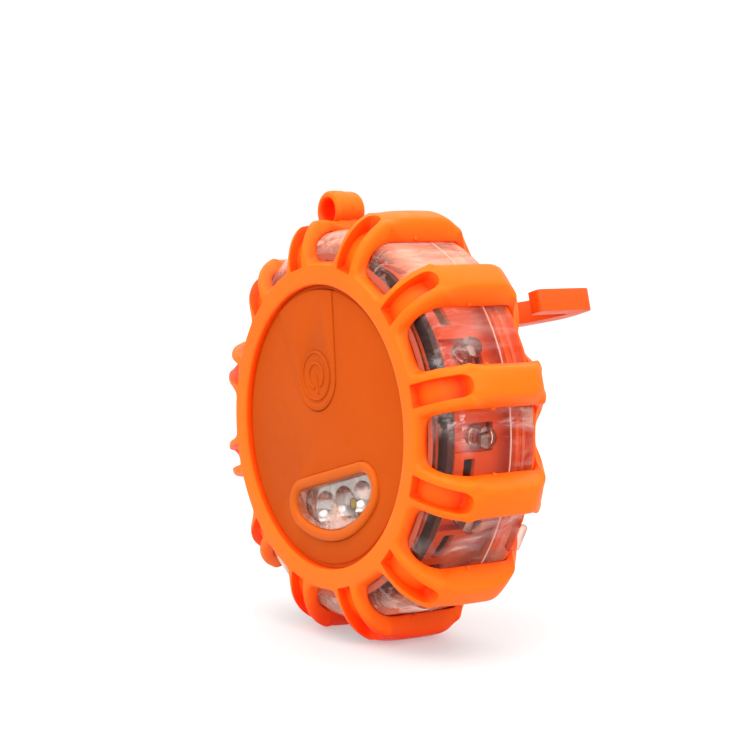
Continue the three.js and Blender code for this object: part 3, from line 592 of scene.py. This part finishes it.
# The rings' edges between two ribs: {row: [radius, depth]}
WINDOW_EDGE = {
    FRONT_EDGE - 2: (38.3, 0.14),
    FRONT_EDGE - 1: (38.65, 0.95),
    FRONT_EDGE: (38.95, 2.6),
    REAR_EDGE: (42.5, 30.7),
    REAR_EDGE + 1: (42.1, 31.05),
    REAR_EDGE + 2: (41.5, 31.5),
    REAR_EDGE + 3: (40.9, 31.95),
    REAR_EDGE + 4: (40.2, 32.5),
    REAR_EDGE + 5: (39.6, 33.15),
    REAR_EDGE + 6: (39.2, 33.1),
}
# How far each pocket column slides back along the rows, so that the pocket's outer end is round
POCKET_SLIDE = {12: (0, 0, 0.1, 0.15), 13: (0, 0.15, 0.45, 0.6), 14: (0, 0.25, 0.85, 1.4)}


def between_rows(index, slide):
    """The row that lies part of the way back to the one before."""
    first, second = SLEEVE_ROWS[index - int(slide) - 1], SLEEVE_ROWS[index - int(slide)]
    part = 1 - (slide - int(slide))
    return tuple(a + (b - a) * part for a, b in zip(first, second))


def lift(row, share):
    """[radius, depth] part of the way from a row's base to its crest."""
    crest_r, crest_depth, base_r, base_depth = row[:4]
    return base_r + (crest_r - base_r) * share, base_depth + (crest_depth - base_depth) * share


def ring_column(index, row, column):
    """The outer and base points of one column of a rib's half where it runs through a ring."""
    half = row[5]
    across = RING_ACROSS[column] * row[0] / RING_OUTER
    if half and column <= RIM_COLUMN:
        across = half * RING_POCKET_COLUMNS[column]
    if index in CORNERS and column >= CORNER_COLUMN:
        return CORNERS[index][column - CORNER_COLUMN], (across, row[2], row[3])
    return (across, *lift(row, 1)), (across, row[2], row[3])


def rib_column(index, row, column):
    """The outer and base points of one column of a rib's half: [across, radius, depth] each."""
    if index < FRONT_EDGE - 2 or index > REAR_EDGE + 2:
        return ring_column(index, row, column)
    pocket, half = row[4:]
    in_pocket = column <= RIM_COLUMN
    past_crown = column - CORNER_COLUMN + 1
    across, share = CROWN_ACROSS[column], CROWN_SHARE[column]
    if index in POCKET_SLIDE and in_pocket:
        slid = between_rows(index, POCKET_SLIDE[index][column])
        row = (min(slid[0], row[0]), *slid[1:4], pocket, half)
    if half:
        floor = 1 - pocket / math.hypot(row[0] - row[2], row[1] - row[3])
        across, share = RAIL_ACROSS[column], max(RAIL_SHARE[column], floor)
        if in_pocket:
            across = half * POCKET_COLUMNS[column]
        if column == FLOOR_COLUMN:
            share = min(1, floor + FLOOR_DISH)
        if not pocket and in_pocket:
            share = 1
    r, depth = lift(row, share)
    if index in CORNERS and past_crown > 0:
        across, r, depth = CORNERS[index][column - CORNER_COLUMN]
    base_r, base_depth = row[2:4]
    if index == FRONT_EDGE and past_crown > 0:
        base_r -= FRONT_TUCK * past_crown
    if index >= REAR_EDGE and past_crown > 0:
        base_r -= REAR_TUCK * past_crown
        base_depth += REAR_DROP * past_crown
    return (across, r, depth), (across * BASE_TAPER, base_r, base_depth)


def beside(centre, across, r, depth):
    """A point at a distance beside the middle plane of the rib at an angle round the rim."""
    out = Vector(polar(1, centre))
    sideways = Vector((out.y, -out.x))
    flat = out * math.sqrt(r * r - across * across) + sideways * across
    return flat.x, depth, flat.y


def rib_point(index, centre, side, column):
    row = SLEEVE_ROWS[index]
    if centre == LOOP_RIB_AT:
        row = (min(row[0], LOOP_RIB_R), *row[1:])
    outer, base = rib_column(index, row, column)
    return beside(centre, side * outer[0], *outer[1:]), beside(centre, side * base[0], *base[1:])


def ring_point(index, centre, side, across):
    """The outer and base points of the rings between two ribs."""
    crest_r, crest_depth, base_r, base_depth = SLEEVE_ROWS[index][:4]
    if index in WINDOW_EDGE:
        crest_r, crest_depth = WINDOW_EDGE[index]
        if index == FRONT_EDGE:
            base_r, base_depth = 38.5, base_depth - 0.15
        elif index >= REAR_EDGE:
            base_r, base_depth = crest_r - 0.3, crest_depth - 0.45
    degrees = centre - side * math.degrees(math.asin(across / RING_OUTER))
    x, z = polar(crest_r, degrees)
    base_x, base_z = polar(base_r, degrees)
    return (x, crest_depth, z), (base_x, base_depth, base_z)


def sleeve_grid():
    """Columns of [outer, base] points clockwise round the rim, and whether a window's strip follows each."""
    rows = range(len(SLEEVE_ROWS))
    half_columns = [(-1, column) for column in range(EDGE_COLUMN, 0, -1)]
    half_columns += [(1, column) for column in range(EDGE_COLUMN + 1)]
    grid, opens = [], []
    for rib in range(RIBS):
        centre = LOOP_RIB_AT - RIB_PITCH * rib
        for side, column in half_columns:
            grid.append([rib_point(index, centre, side, column) for index in rows])
            opens.append(side > 0 and column == EDGE_COLUMN)
        for across in WINDOW_ACROSS:
            grid.append([ring_point(index, centre, 1, across) for index in rows])
            opens.append(True)
        grid.append([ring_point(index, centre - RIB_PITCH, -1, WINDOW_ACROSS[0]) for index in rows])
        opens.append(True)
    return grid, opens


def sleeve():
    """The sleeve as a cage of quads, rib by rib round the rim, softened by subdivision."""
    grid, opens = sleeve_grid()
    faces = []
    for g, is_open in enumerate(opens):
        h = (g + 1) % len(grid)
        for i in range(len(SLEEVE_ROWS) - 1):
            if not (is_open and FRONT_EDGE <= i < REAR_EDGE):
                faces.append(((g, i), (h, i), (h, i + 1), (g, i + 1)))
    edges = {(face[k], face[(k + 1) % 4]) for face in faces for k in range(4)}
    order, verts = {}, []

    def vertex(place, layer):
        if (place, layer) not in order:
            order[(place, layer)] = len(verts)
            verts.append(grid[place[0]][place[1]][layer])
        return order[(place, layer)]

    polygons = []
    for face in faces:
        polygons.append([vertex(place, 0) for place in face])
        polygons.append([vertex(place, 1) for place in reversed(face)])
    for a, b in sorted(edges):
        if (b, a) not in edges:
            polygons.append([vertex(b, 0), vertex(a, 0), vertex(a, 1), vertex(b, 1)])
    obj = make("bumper_sleeve_skin", verts, polygons)
    crease_rims(obj, grid)
    smooth = obj.modifiers.new("smooth", "SUBSURF")
    smooth.levels = smooth.render_levels = 2
    return settle(obj)


def grid_places(obj, grid):
    """The grid's column and row of each outer vertex of the cage."""
    by_place = {}
    for vert in obj.data.vertices:
        by_place[tuple(round(c, 4) for c in vert.co)] = vert.index
    places = {}
    for column, rows in enumerate(grid):
        for row, (outer, _) in enumerate(rows):
            found = by_place.get(tuple(round(c, 4) for c in Vector(outer)))
            if found is not None:
                places[found] = (column, row)
    return places


def crease_of(columns, rows):
    """How crisp an edge of the cage stays: columns count from the rib's middle, rows from the front."""
    if max(columns) > RIM_COLUMN or min(rows) < POCKET_START or max(rows) > POCKET_END:
        return 0
    level = rows[0] == rows[1]
    if columns == [RIM_COLUMN, RIM_COLUMN] or (level and rows[0] in (POCKET_START, POCKET_END)):
        return RIM_CREASE
    start, end = POCKET_START + 1, POCKET_END - 1
    floor_side = columns == [FLOOR_COLUMN, FLOOR_COLUMN] and start <= min(rows) and max(rows) <= end
    floor_end = level and rows[0] in (start, end) and max(columns) <= FLOOR_COLUMN
    return FLOOR_CREASE if floor_side or floor_end else 0


def crease_rims(obj, grid):
    """Keeps the pockets' rims and floors crisp when the cage is smoothed."""
    places = grid_places(obj, grid)
    layer = obj.data.attributes.new("crease_edge", "FLOAT", "EDGE")
    columns_per_rib = 2 * EDGE_COLUMN + 2 + len(WINDOW_ACROSS)
    for edge in obj.data.edges:
        ends = [places.get(vertex) for vertex in edge.vertices]
        if None in ends:
            continue
        columns = [abs(column % columns_per_rib - EDGE_COLUMN) for column, _ in ends]
        layer.data[edge.index].value = crease_of(columns, [row for _, row in ends])


def build_sleeve():
    finish_piece(sleeve(), "flare", ["bumper_sleeve"], RUBBER, sharp=60)
    build_loop()
    build_nubs()


# The loop's foot as [growth, depth] levels, and its hole as a [radius, depth] profile with a rounded throat
FOOT_LEVELS = ((0, 11.9), (0.25, 12.3), (0.25, 19.0), (0, 19.5))
LOOP_HOLE = [
    (0, 5), (3.7, 5), (3.8, 11.15), (3.35, 11.6), (3.05, 12.2), (2.95, 12.9),
    (2.95, 18.9), (3.1, 19.6), (3.4, 19.95), (3.4, 25), (0, 25),
]


def build_loop():
    """The hanging loop: a thick rounded tube on a foot that grows out of its rib."""
    front, back = 11.3, 19.9
    outline = [
        (0.5, front, 0), (5.0, front, 1.5), (5.0, 15.2, 0.5),
        (4.8, 15.6, 0.5), (4.8, back, 2.4), (0.5, back, 0),
    ]
    body = lathe("hanging_loop", [(0, front), *fillet(outline, 0.5, 8), (0, back)], 96)
    body.data.transform(Matrix.Translation((0, 0, LOOP_Z)))
    foot = loft("foot", [(foot_outline(grow), depth) for grow, depth in FOOT_LEVELS])
    merge = body.modifiers.new("merge", "BOOLEAN")
    merge.operation = "UNION"
    merge.solver = "EXACT"
    merge.object = foot
    settle(body)
    bpy.data.objects.remove(foot)
    hole = lathe("hole", LOOP_HOLE, 64)
    hole.data.transform(Matrix.Translation((0, 0, LOOP_Z)))
    cut(body, hole)
    finish_piece(body, "flare", [], RUBBER, sharp=50)


def foot_outline(grow):
    """The loop's foot, spreading towards the rib."""
    half = [(4.3, 44.5), (4.3, 47.9), (3.6, 48.9), (3.3, 50.2), (3.2, 51.5)]
    return [(x + grow, z) for x, z in half] + [(-x - grow, z) for x, z in reversed(half)]


def build_nubs():
    """Small mould nubs where the ribs meet the lens, midway along."""
    across, out = 4.75, 47.1
    profile = [(0, 0.62), (0.28, 0.55), (0.5, 0.32), (0.62, 0), (0.62, -0.3), (0, -0.4)]
    nubs = []
    for i in range(RIBS):
        depth = 15.2 + 0.4 * (i % 3)
        for side in (-1, 1):
            nub = lathe("nub", profile, 14)
            nub.data.transform(Matrix.Rotation(math.pi / 2, 4, "X"))
            nub.data.transform(Matrix.Translation((side * across, depth, out)))
            nubs.append(on_rim(nub, LOOP_RIB_AT - RIB_PITCH * i))
    finish_piece(join_meshes("sleeve_nubs", *nubs), "flare", [], RUBBER, sharp=60)


# ---------------------------------------------------------------- shells and panel
def arc(centre_r, centre_depth, semi_r, semi_depth, steps):
    """A quarter of an ellipse as [radius, depth] points, from its end in depth to its end in radius."""
    turns = [math.pi / 2 * k / steps for k in range(steps + 1)]
    return [(centre_r + semi_r * math.sin(a), centre_depth + semi_depth * math.cos(a)) for a in turns]


def build_lens():
    wall, shoulder_wall, land_r = 2, 2, 33.7
    inside = LENS_R - wall
    depth_outside, depth_inside = LENS_FRONT - SHOULDER_DEPTH, LENS_FRONT + shoulder_wall - SHOULDER_DEPTH
    band_front, band_back, band_rise = 20.9, 24.5, 0.12
    outer = [
        (land_r, LENS_FRONT),
        *arc(SHOULDER_R, SHOULDER_DEPTH, LENS_R - SHOULDER_R, depth_outside, 14),
        (LENS_R, band_front),
        (LENS_R + band_rise, band_front + 0.3),
        (LENS_R + band_rise, band_back - 0.3),
        (LENS_R, band_back),
        (LENS_R, LENS_BACK - 0.2),
        (LENS_R - 0.2, LENS_BACK),
        (inside, LENS_BACK),
        (inside, 10),
        *reversed(arc(SHOULDER_R, SHOULDER_DEPTH, inside - SHOULDER_R, depth_inside, 12)),
        (land_r, LENS_FRONT + shoulder_wall),
    ]
    finish_piece(lathe("lens_skin", outer, 216), "flare", ["lens_shell"], CLEAR, sharp=30)


def lug_outline(grow):
    """The clear lug at the lens's edge, across the rim."""
    half, foot, top = 3.4 + grow, 46.0, 47.7 + grow
    return fillet([(-half, foot), (half, foot), (half, top), (-half, top)], 0.6, 5)


def build_lug():
    levels = [(-0.45, 25.2), (-0.2, 25.3), (0, 25.6), (0, 28.2), (-0.2, 28.5), (-0.45, 28.6)]
    lug = loft("lens_lug", [(lug_outline(grow), depth) for grow, depth in levels])
    finish_piece(on_rim(lug, -45), "flare", [], LUG, sharp=60)


def ring_bead(name, r, front, back, rise, material):
    """A small raised band round the flare."""
    profile = [
        (r - 0.3, front),
        (r, front),
        (r + rise * 0.8, front + 0.08),
        (r + rise, (front + back) / 2),
        (r + rise * 0.8, back - 0.08),
        (r, back),
        (r - 0.3, back),
    ]
    finish_piece(lathe(name, profile, 216), "flare", [], material)


def build_seams():
    """The lens's weld line and front land, and two beads on the back shell's skirt."""
    ring_bead("lens_weld_line", LENS_R, 20.55, 20.75, 0.06, WELD)
    land = [(39.1, 2.9), (40.0, 2.93), (40.75, 3.02), (40.75, 3.12), (40.0, 3.05), (39.1, 3.02)]
    finish_piece(lathe("lens_land", land, 216), "flare", [], FROST)
    ring_bead("skirt_bead_1", 43.9, 24.9, 25.3, 0.25, CASE)
    ring_bead("skirt_bead_2", 43.9, 27.2, 27.6, 0.25, CASE)


def torch_outline(grow, steps=12, flat_steps=8):
    """The torch's wide D: a flat top, a sweep concentric with the panel, and round sides."""
    corner = TORCH_CORNER + grow
    corner_z = TORCH_TOP - TORCH_CORNER
    corner_x = math.sqrt((TORCH_SWEEP - TORCH_CORNER) ** 2 - corner_z**2)
    swing = math.atan2(corner_z, corner_x)
    points = []
    for k in range(steps + 1):
        a = math.pi / 2 + (swing - math.pi / 2) * k / steps
        points.append((corner_x + corner * math.cos(a), corner_z + corner * math.sin(a)))
    sweep = TORCH_SWEEP + grow
    for k in range(1, 2 * steps):
        a = swing + (-math.pi - 2 * swing) * k / (2 * steps)
        points.append((sweep * math.cos(a), sweep * math.sin(a)))
    for k in range(steps + 1):
        a = -math.pi - swing + (-math.pi / 2 + swing) * k / steps
        points.append((-corner_x + corner * math.cos(a), corner_z + corner * math.sin(a)))
    for k in range(1, flat_steps):
        points.append((-corner_x + 2 * corner_x * k / flat_steps, TORCH_TOP + grow))
    return points


def button_outline(grow, steps=28):
    """A round end whose straight sides spread to an arc along the front ring."""
    r = BUTTON_R + grow
    rim = PANEL_R - 0.75 + grow
    half = BUTTON_HALF + grow
    top_z = math.sqrt(rim * rim - half * half)
    spread = math.atan2(half - r, top_z - BUTTON_Z)
    points = []
    for k in range(steps + 1):
        a = -spread - (math.pi - 2 * spread) * k / steps
        points.append((r * math.cos(a), BUTTON_Z + r * math.sin(a)))
    edge = math.atan2(top_z, half)
    for k in range(steps + 1):
        a = math.pi - edge - (math.pi - 2 * edge) * k / steps
        points.append((rim * math.cos(a), rim * math.sin(a)))
    return points


def tube(name, path, radius, sides=10, closed=False):
    """A round bead along a path of points in the flare's own frame."""
    verts, faces, count = [], [], len(path)
    points = [Vector(point) for point in path]
    for i, point in enumerate(points):
        before = points[i - 1] if i or closed else point
        after = points[(i + 1) % count] if i + 1 < count or closed else point
        along = (after - before).normalized()
        side = along.cross(Vector((0, 1, 0))).normalized()
        upper = side.cross(along)
        for k in range(sides):
            a = 2 * math.pi * k / sides
            verts.append(tuple(point + radius * (side * math.cos(a) + upper * math.sin(a))))
    for i in range(count if closed else count - 1):
        a, b = i * sides, ((i + 1) % count) * sides
        faces += [(a + k, a + (k + 1) % sides, b + (k + 1) % sides, b + k) for k in range(sides)]
    if not closed:
        faces.append(tuple(range(sides)))
        faces.append(tuple(range((count - 1) * sides, count * sides)))
    return make(name, verts, faces)


def circle_path(r, x, z, depth, start=0, end=360, steps=64):
    """Points round a circle that faces front, or round part of it between two angles."""
    closed = end - start >= 360
    count = steps if closed else steps + 1
    angles = [math.radians(start + (end - start) * k / steps) for k in range(count)]
    return [(x + r * math.cos(a), depth, z + r * math.sin(a)) for a in angles]


def build_panel():
    rim_r, flange_r, flange_front, flange_back = PANEL_R + 0.2, 39, 5.08, 5.9
    profile = [
        (0, PANEL_BACK),
        (29.5, PANEL_BACK),
        (30.5, flange_back),
        (flange_r, flange_back),
        (flange_r, flange_front),
        (rim_r, flange_front),
        (rim_r, PANEL_FACE + 0.55),
        (PANEL_R - 0.65, PANEL_FACE + 0.5),
        (PANEL_R - 0.85, PANEL_FACE + 0.1),
        (PANEL_R - 1.0, PANEL_FACE),
        (0, PANEL_FACE),
    ]
    button_gap, torch_gap = 0.16, 0.12
    obj = lathe("panel_skin", profile, 180)
    key = loft("key", [(button_outline(button_gap), -1), (button_outline(button_gap), 5.2)])
    lamp = loft("lamp", [(torch_outline(torch_gap), -1), (torch_outline(torch_gap), 5)])
    cut(obj, key, lamp)
    finish_piece(obj, "flare", ["front_panel"], PANEL)


def build_button():
    levels = [
        (button_outline(0), 3.3),
        (button_outline(0), BUTTON_FACE + 0.3),
        (button_outline(-0.08), BUTTON_FACE + 0.1),
        (button_outline(-0.3), BUTTON_FACE),
    ]
    obj = loft("button_skin", levels)
    dish_floor = BUTTON_FACE + 0.3
    profile = [(0, -2), (7.0, -2), (7.1, BUTTON_FACE - 0.02), (6.5, dish_floor), (0, dish_floor)]
    dish = lathe("dish", profile, 96)
    dish.data.transform(Matrix.Translation((0, 0, EMBLEM_Z)))
    cut(obj, dish)
    finish_piece(obj, "power_button", ["power_button"], BUTTON)
    build_emblem()


def build_emblem():
    """The power symbol in raised lines: a ring round a broken ring, with a stroke through the break."""
    face, line = BUTTON_FACE + 0.25, 0.32
    stroke = [(0, face, EMBLEM_Z + 0.4), (0, face, EMBLEM_Z - 4.2)]
    beads = [
        tube("bead", circle_path(5.6, 0, EMBLEM_Z, face), line, closed=True),
        tube("bead", circle_path(3.0, 0, EMBLEM_Z, face, -64, 244), line),
        tube("bead", stroke, line),
    ]
    finish_piece(join_meshes("power_emblem", *beads), "power_button", [], BUTTON)


def build_bezel():
    """The torch's bezel, and the clear window inside it; both follow the torch's outline, grown or shrunk."""
    window = -2.6
    ring = [
        (torch_outline(0), PANEL_BACK),
        (torch_outline(0), 1.0),
        (torch_outline(-0.12), 0.6),
        (torch_outline(-0.5), 0.32),
        (torch_outline(-1.0), 0.25),
        (torch_outline(-1.7), 0.32),
        (torch_outline(window + 0.35), 0.62),
        (torch_outline(window + 0.08), 1.0),
        (torch_outline(window), 1.5),
        (torch_outline(window), PANEL_BACK),
    ]
    bezel = loft("bezel_skin", ring, ring=True)
    finish_piece(bezel, "flare", ["torch_bezel"], BEZEL, sharp=50)
    glass = [
        (torch_outline(window - 0.1), 2.4),
        (torch_outline(window - 0.1), 1.35),
        (torch_outline(window - 0.35), 1.15),
    ]
    finish_piece(loft("window_skin", glass), "flare", ["torch_window"], WINDOW)


def build_reflector():
    """A bright block with a bowl round each of the three LEDs."""
    front, back, throat, mouth, steps = 3.9, 6.4, 1.45, 3.2, 10
    above = front - 0.3
    body = loft("reflector_skin", [(torch_outline(-0.5), front), (torch_outline(-0.5), back)])
    shares = [k / steps for k in range(steps + 1)]
    bowl = [(throat + mouth * math.sqrt(1 - share), above + (back - above) * share) for share in shares]
    cups = []
    for i in (-1, 0, 1):
        cup = lathe("cup", [(0, above), *bowl, (throat, back + 1), (0, back + 1)], 72)
        cup.data.transform(Matrix.Translation((i * TORCH_PITCH, 0, TORCH_ROW)))
        cups.append(cup)
    cut(body, *cups)
    finish_piece(body, "flare", ["torch_reflector"], CHROME, sharp=30)


# ---------------------------------------------------------------- electronics
def block(x, depth, z, half_x, half_depth, half_z, soft=0.12):
    """A small box with softened edges, by its centre and half-sizes."""
    ends = (-1, 1)
    corners = [
        (x + i * half_x, depth + j * half_depth, z + k * half_z) for i in ends for j in ends for k in ends
    ]
    faces = [(0, 1, 3, 2), (4, 6, 7, 5), (0, 4, 5, 1), (2, 3, 7, 6), (0, 2, 6, 4), (1, 5, 7, 3)]
    obj = make("block", corners, faces)
    soften = obj.modifiers.new("soften", "BEVEL")
    soften.width = soft
    soften.segments = 2
    return settle(obj)


def build_drum():
    """The drum behind the LEDs: a seat at each LED and a slot between each pair."""
    inner, outer, front, back, edge = 37, 38.2, 11.1, 28.2, 0.2
    profile = [
        (inner, front + edge), (inner + edge, front), (outer - edge, front), (outer, front + edge),
        (outer, back - edge), (outer - edge, back), (inner + edge, back), (inner, back - edge),
    ]
    wall = lathe("led_drum_skin", profile, 240)
    seat_depth, slot_turn, side_x = 16.6, 13.4, 3.5
    openings, seats, walls = [], [], []
    for i in range(RIBS):
        degrees = FIRST_LED_AT - RIB_PITCH * i
        openings.append(on_rim(block(0, seat_depth, 37.3, 3.3, 5.2, 1.2), degrees))
        openings.append(on_rim(block(0, 15.5, 37.6, 4.1, 1.55, 1.6), degrees - slot_turn))
        seats.append(on_rim(block(0, seat_depth, 35.5, 3.7, 5.0, 0.35), degrees))
        for x in (-side_x, side_x):
            walls.append(on_rim(block(x, seat_depth, 36.4, 0.2, 5.0, 1.1), degrees))
    cut(wall, *openings)
    obj = join_meshes("led_drum_skin", wall, *seats, *walls)
    finish_piece(obj, "flare", ["led_drum"], DRUM, sharp=30)


def led_dome(name):
    """A 5 mm LED standing out from the rim: flange, straight side and round end."""
    steps, end_centre = 8, LED_TIP - LED_R
    turns = [k / steps * math.pi / 2 for k in range(steps + 1)]
    profile = [
        (0.0, LED_BASE),
        (LED_FLANGE - 0.15, LED_BASE),
        (LED_FLANGE, LED_BASE + 0.15),
        (LED_FLANGE, LED_BASE + 0.9),
        (LED_R + 0.05, LED_BASE + 1.05),
        (LED_R, LED_BASE + 1.2),
        *[(LED_R * math.cos(a), end_centre + LED_R * math.sin(a)) for a in turns],
    ]
    obj = lathe(name, profile, 32)
    obj.data.transform(Matrix.Rotation(math.pi / 2, 4, "X"))
    obj.data.transform(Matrix.Translation((0, LED_DEPTH, 0)))
    return obj


def led_leads(name):
    """The two legs, bent back to the board, with the cup and the post that they end in."""
    soft, half, leg_x = 0.08, 0.25, 1.27
    middle, reach = (BOARD_BACK + LED_DEPTH) / 2 + 0.1, (LED_DEPTH - BOARD_BACK) / 2
    parts = []
    for x in (-leg_x, leg_x):
        parts.append(block(x, middle, LED_BASE - 0.95, half, reach, half, soft))
        parts.append(block(x, LED_DEPTH, LED_BASE + 0.9, half, half, 2.1, soft))
    parts.append(block(0.55, LED_DEPTH, LED_BASE + 3.3, 1.0, 0.7, 0.5, soft))
    parts.append(block(-1.2, LED_DEPTH, LED_BASE + 3.2, 0.45, 0.5, 0.4, soft))
    return join_meshes(name, *parts)


def build_side_leds():
    for i in range(RIBS):
        degrees = FIRST_LED_AT - RIB_PITCH * i
        name = "side_led_%02d" % (i + 1)
        finish_piece(on_rim(led_dome(name + "_dome"), degrees), "flare", [name], EPOXY)
        finish_piece(on_rim(led_leads(name + "_leads"), degrees), "flare", [], STEEL)


# ---------------------------------------------------------------- pieces with broken edges
def softened(node_name, body, width, material, segments=3):
    """A moulded piece whose sharp edges are rounded off by width millimetres."""
    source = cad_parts[node_name]
    mesh = source.data.copy()
    mesh.transform(source.matrix_world)
    mesh.transform(Matrix.Scale(1 / MM, 4))
    made = bmesh.new()
    made.from_mesh(mesh)
    bmesh.ops.remove_doubles(made, verts=made.verts, dist=1e-3)
    bmesh.ops.dissolve_limit(made, angle_limit=math.radians(1.5), verts=made.verts, edges=made.edges)
    made.to_mesh(mesh)
    made.free()
    obj = bpy.data.objects.new(node_name + "_skin", mesh)
    bpy.context.scene.collection.objects.link(obj)
    edge = obj.modifiers.new("edge", "BEVEL")
    edge.width = width
    edge.segments = segments
    edge.limit_method = "ANGLE"
    edge.angle_limit = math.radians(35)
    settle(obj)
    obj.data.transform(Matrix.Scale(MM, 4))
    hand_over(obj, body, [node_name], material, sharp=40)


def build_softened():
    softened("hook", "hook", 0.55, HOOK, 4)
    softened("battery_door", "battery_door", 0.3, CASE)
    softened("magnet", "battery_door", 0.25, NICKEL)
    softened("back_shell", "flare", 0.18, CASE, 2)
    softened("door_screw", "battery_door", 0.1, STEEL, 2)
    softened("controller_chip", "flare", 0.12, BLACK, 2)
    for i in range(1, 5):
        softened("housing_screw_%d" % i, "flare", 0.1, STEEL, 2)


# ---------------------------------------------------------------- hidden pieces that keep their shape
KEPT = [
    (PHOSPHOR, ["torch_led_1", "torch_led_2", "torch_led_3"]),
    (BOARD, ["circuit_board"]),
    (BLACK, ["tact_switch", "switch_plunger", "driver_transistor"]),
    (BLACK, ["ballast_resistor_1", "ballast_resistor_2", "battery_lead_negative"]),
    (GASKET, ["seal_ring"]),
    (SEAL, ["door_gasket"]),
    (CELL, ["battery_1", "battery_2", "battery_3"]),
    (NICKEL, ["battery_spring_1", "battery_spring_2", "battery_spring_3"]),
    (NICKEL, ["contact_plate_top_1", "contact_plate_top_2"]),
    (NICKEL, ["contact_plate_bottom_1", "contact_plate_bottom_2"]),
    (RED_WIRE, ["battery_lead_positive"]),
    (STEEL, ["hook_pin"]),
]


def paint_kept_nodes():
    for material, names in KEPT:
        for name in names:
            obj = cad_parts[name]
            obj.data.materials.clear()
            obj.data.materials.append(material)


camera()
studio()
build_sleeve()
build_lens()
build_lug()
build_panel()
build_button()
build_bezel()
build_reflector()
build_side_leds()
build_drum()
build_seams()
build_softened()
paint_kept_nodes()
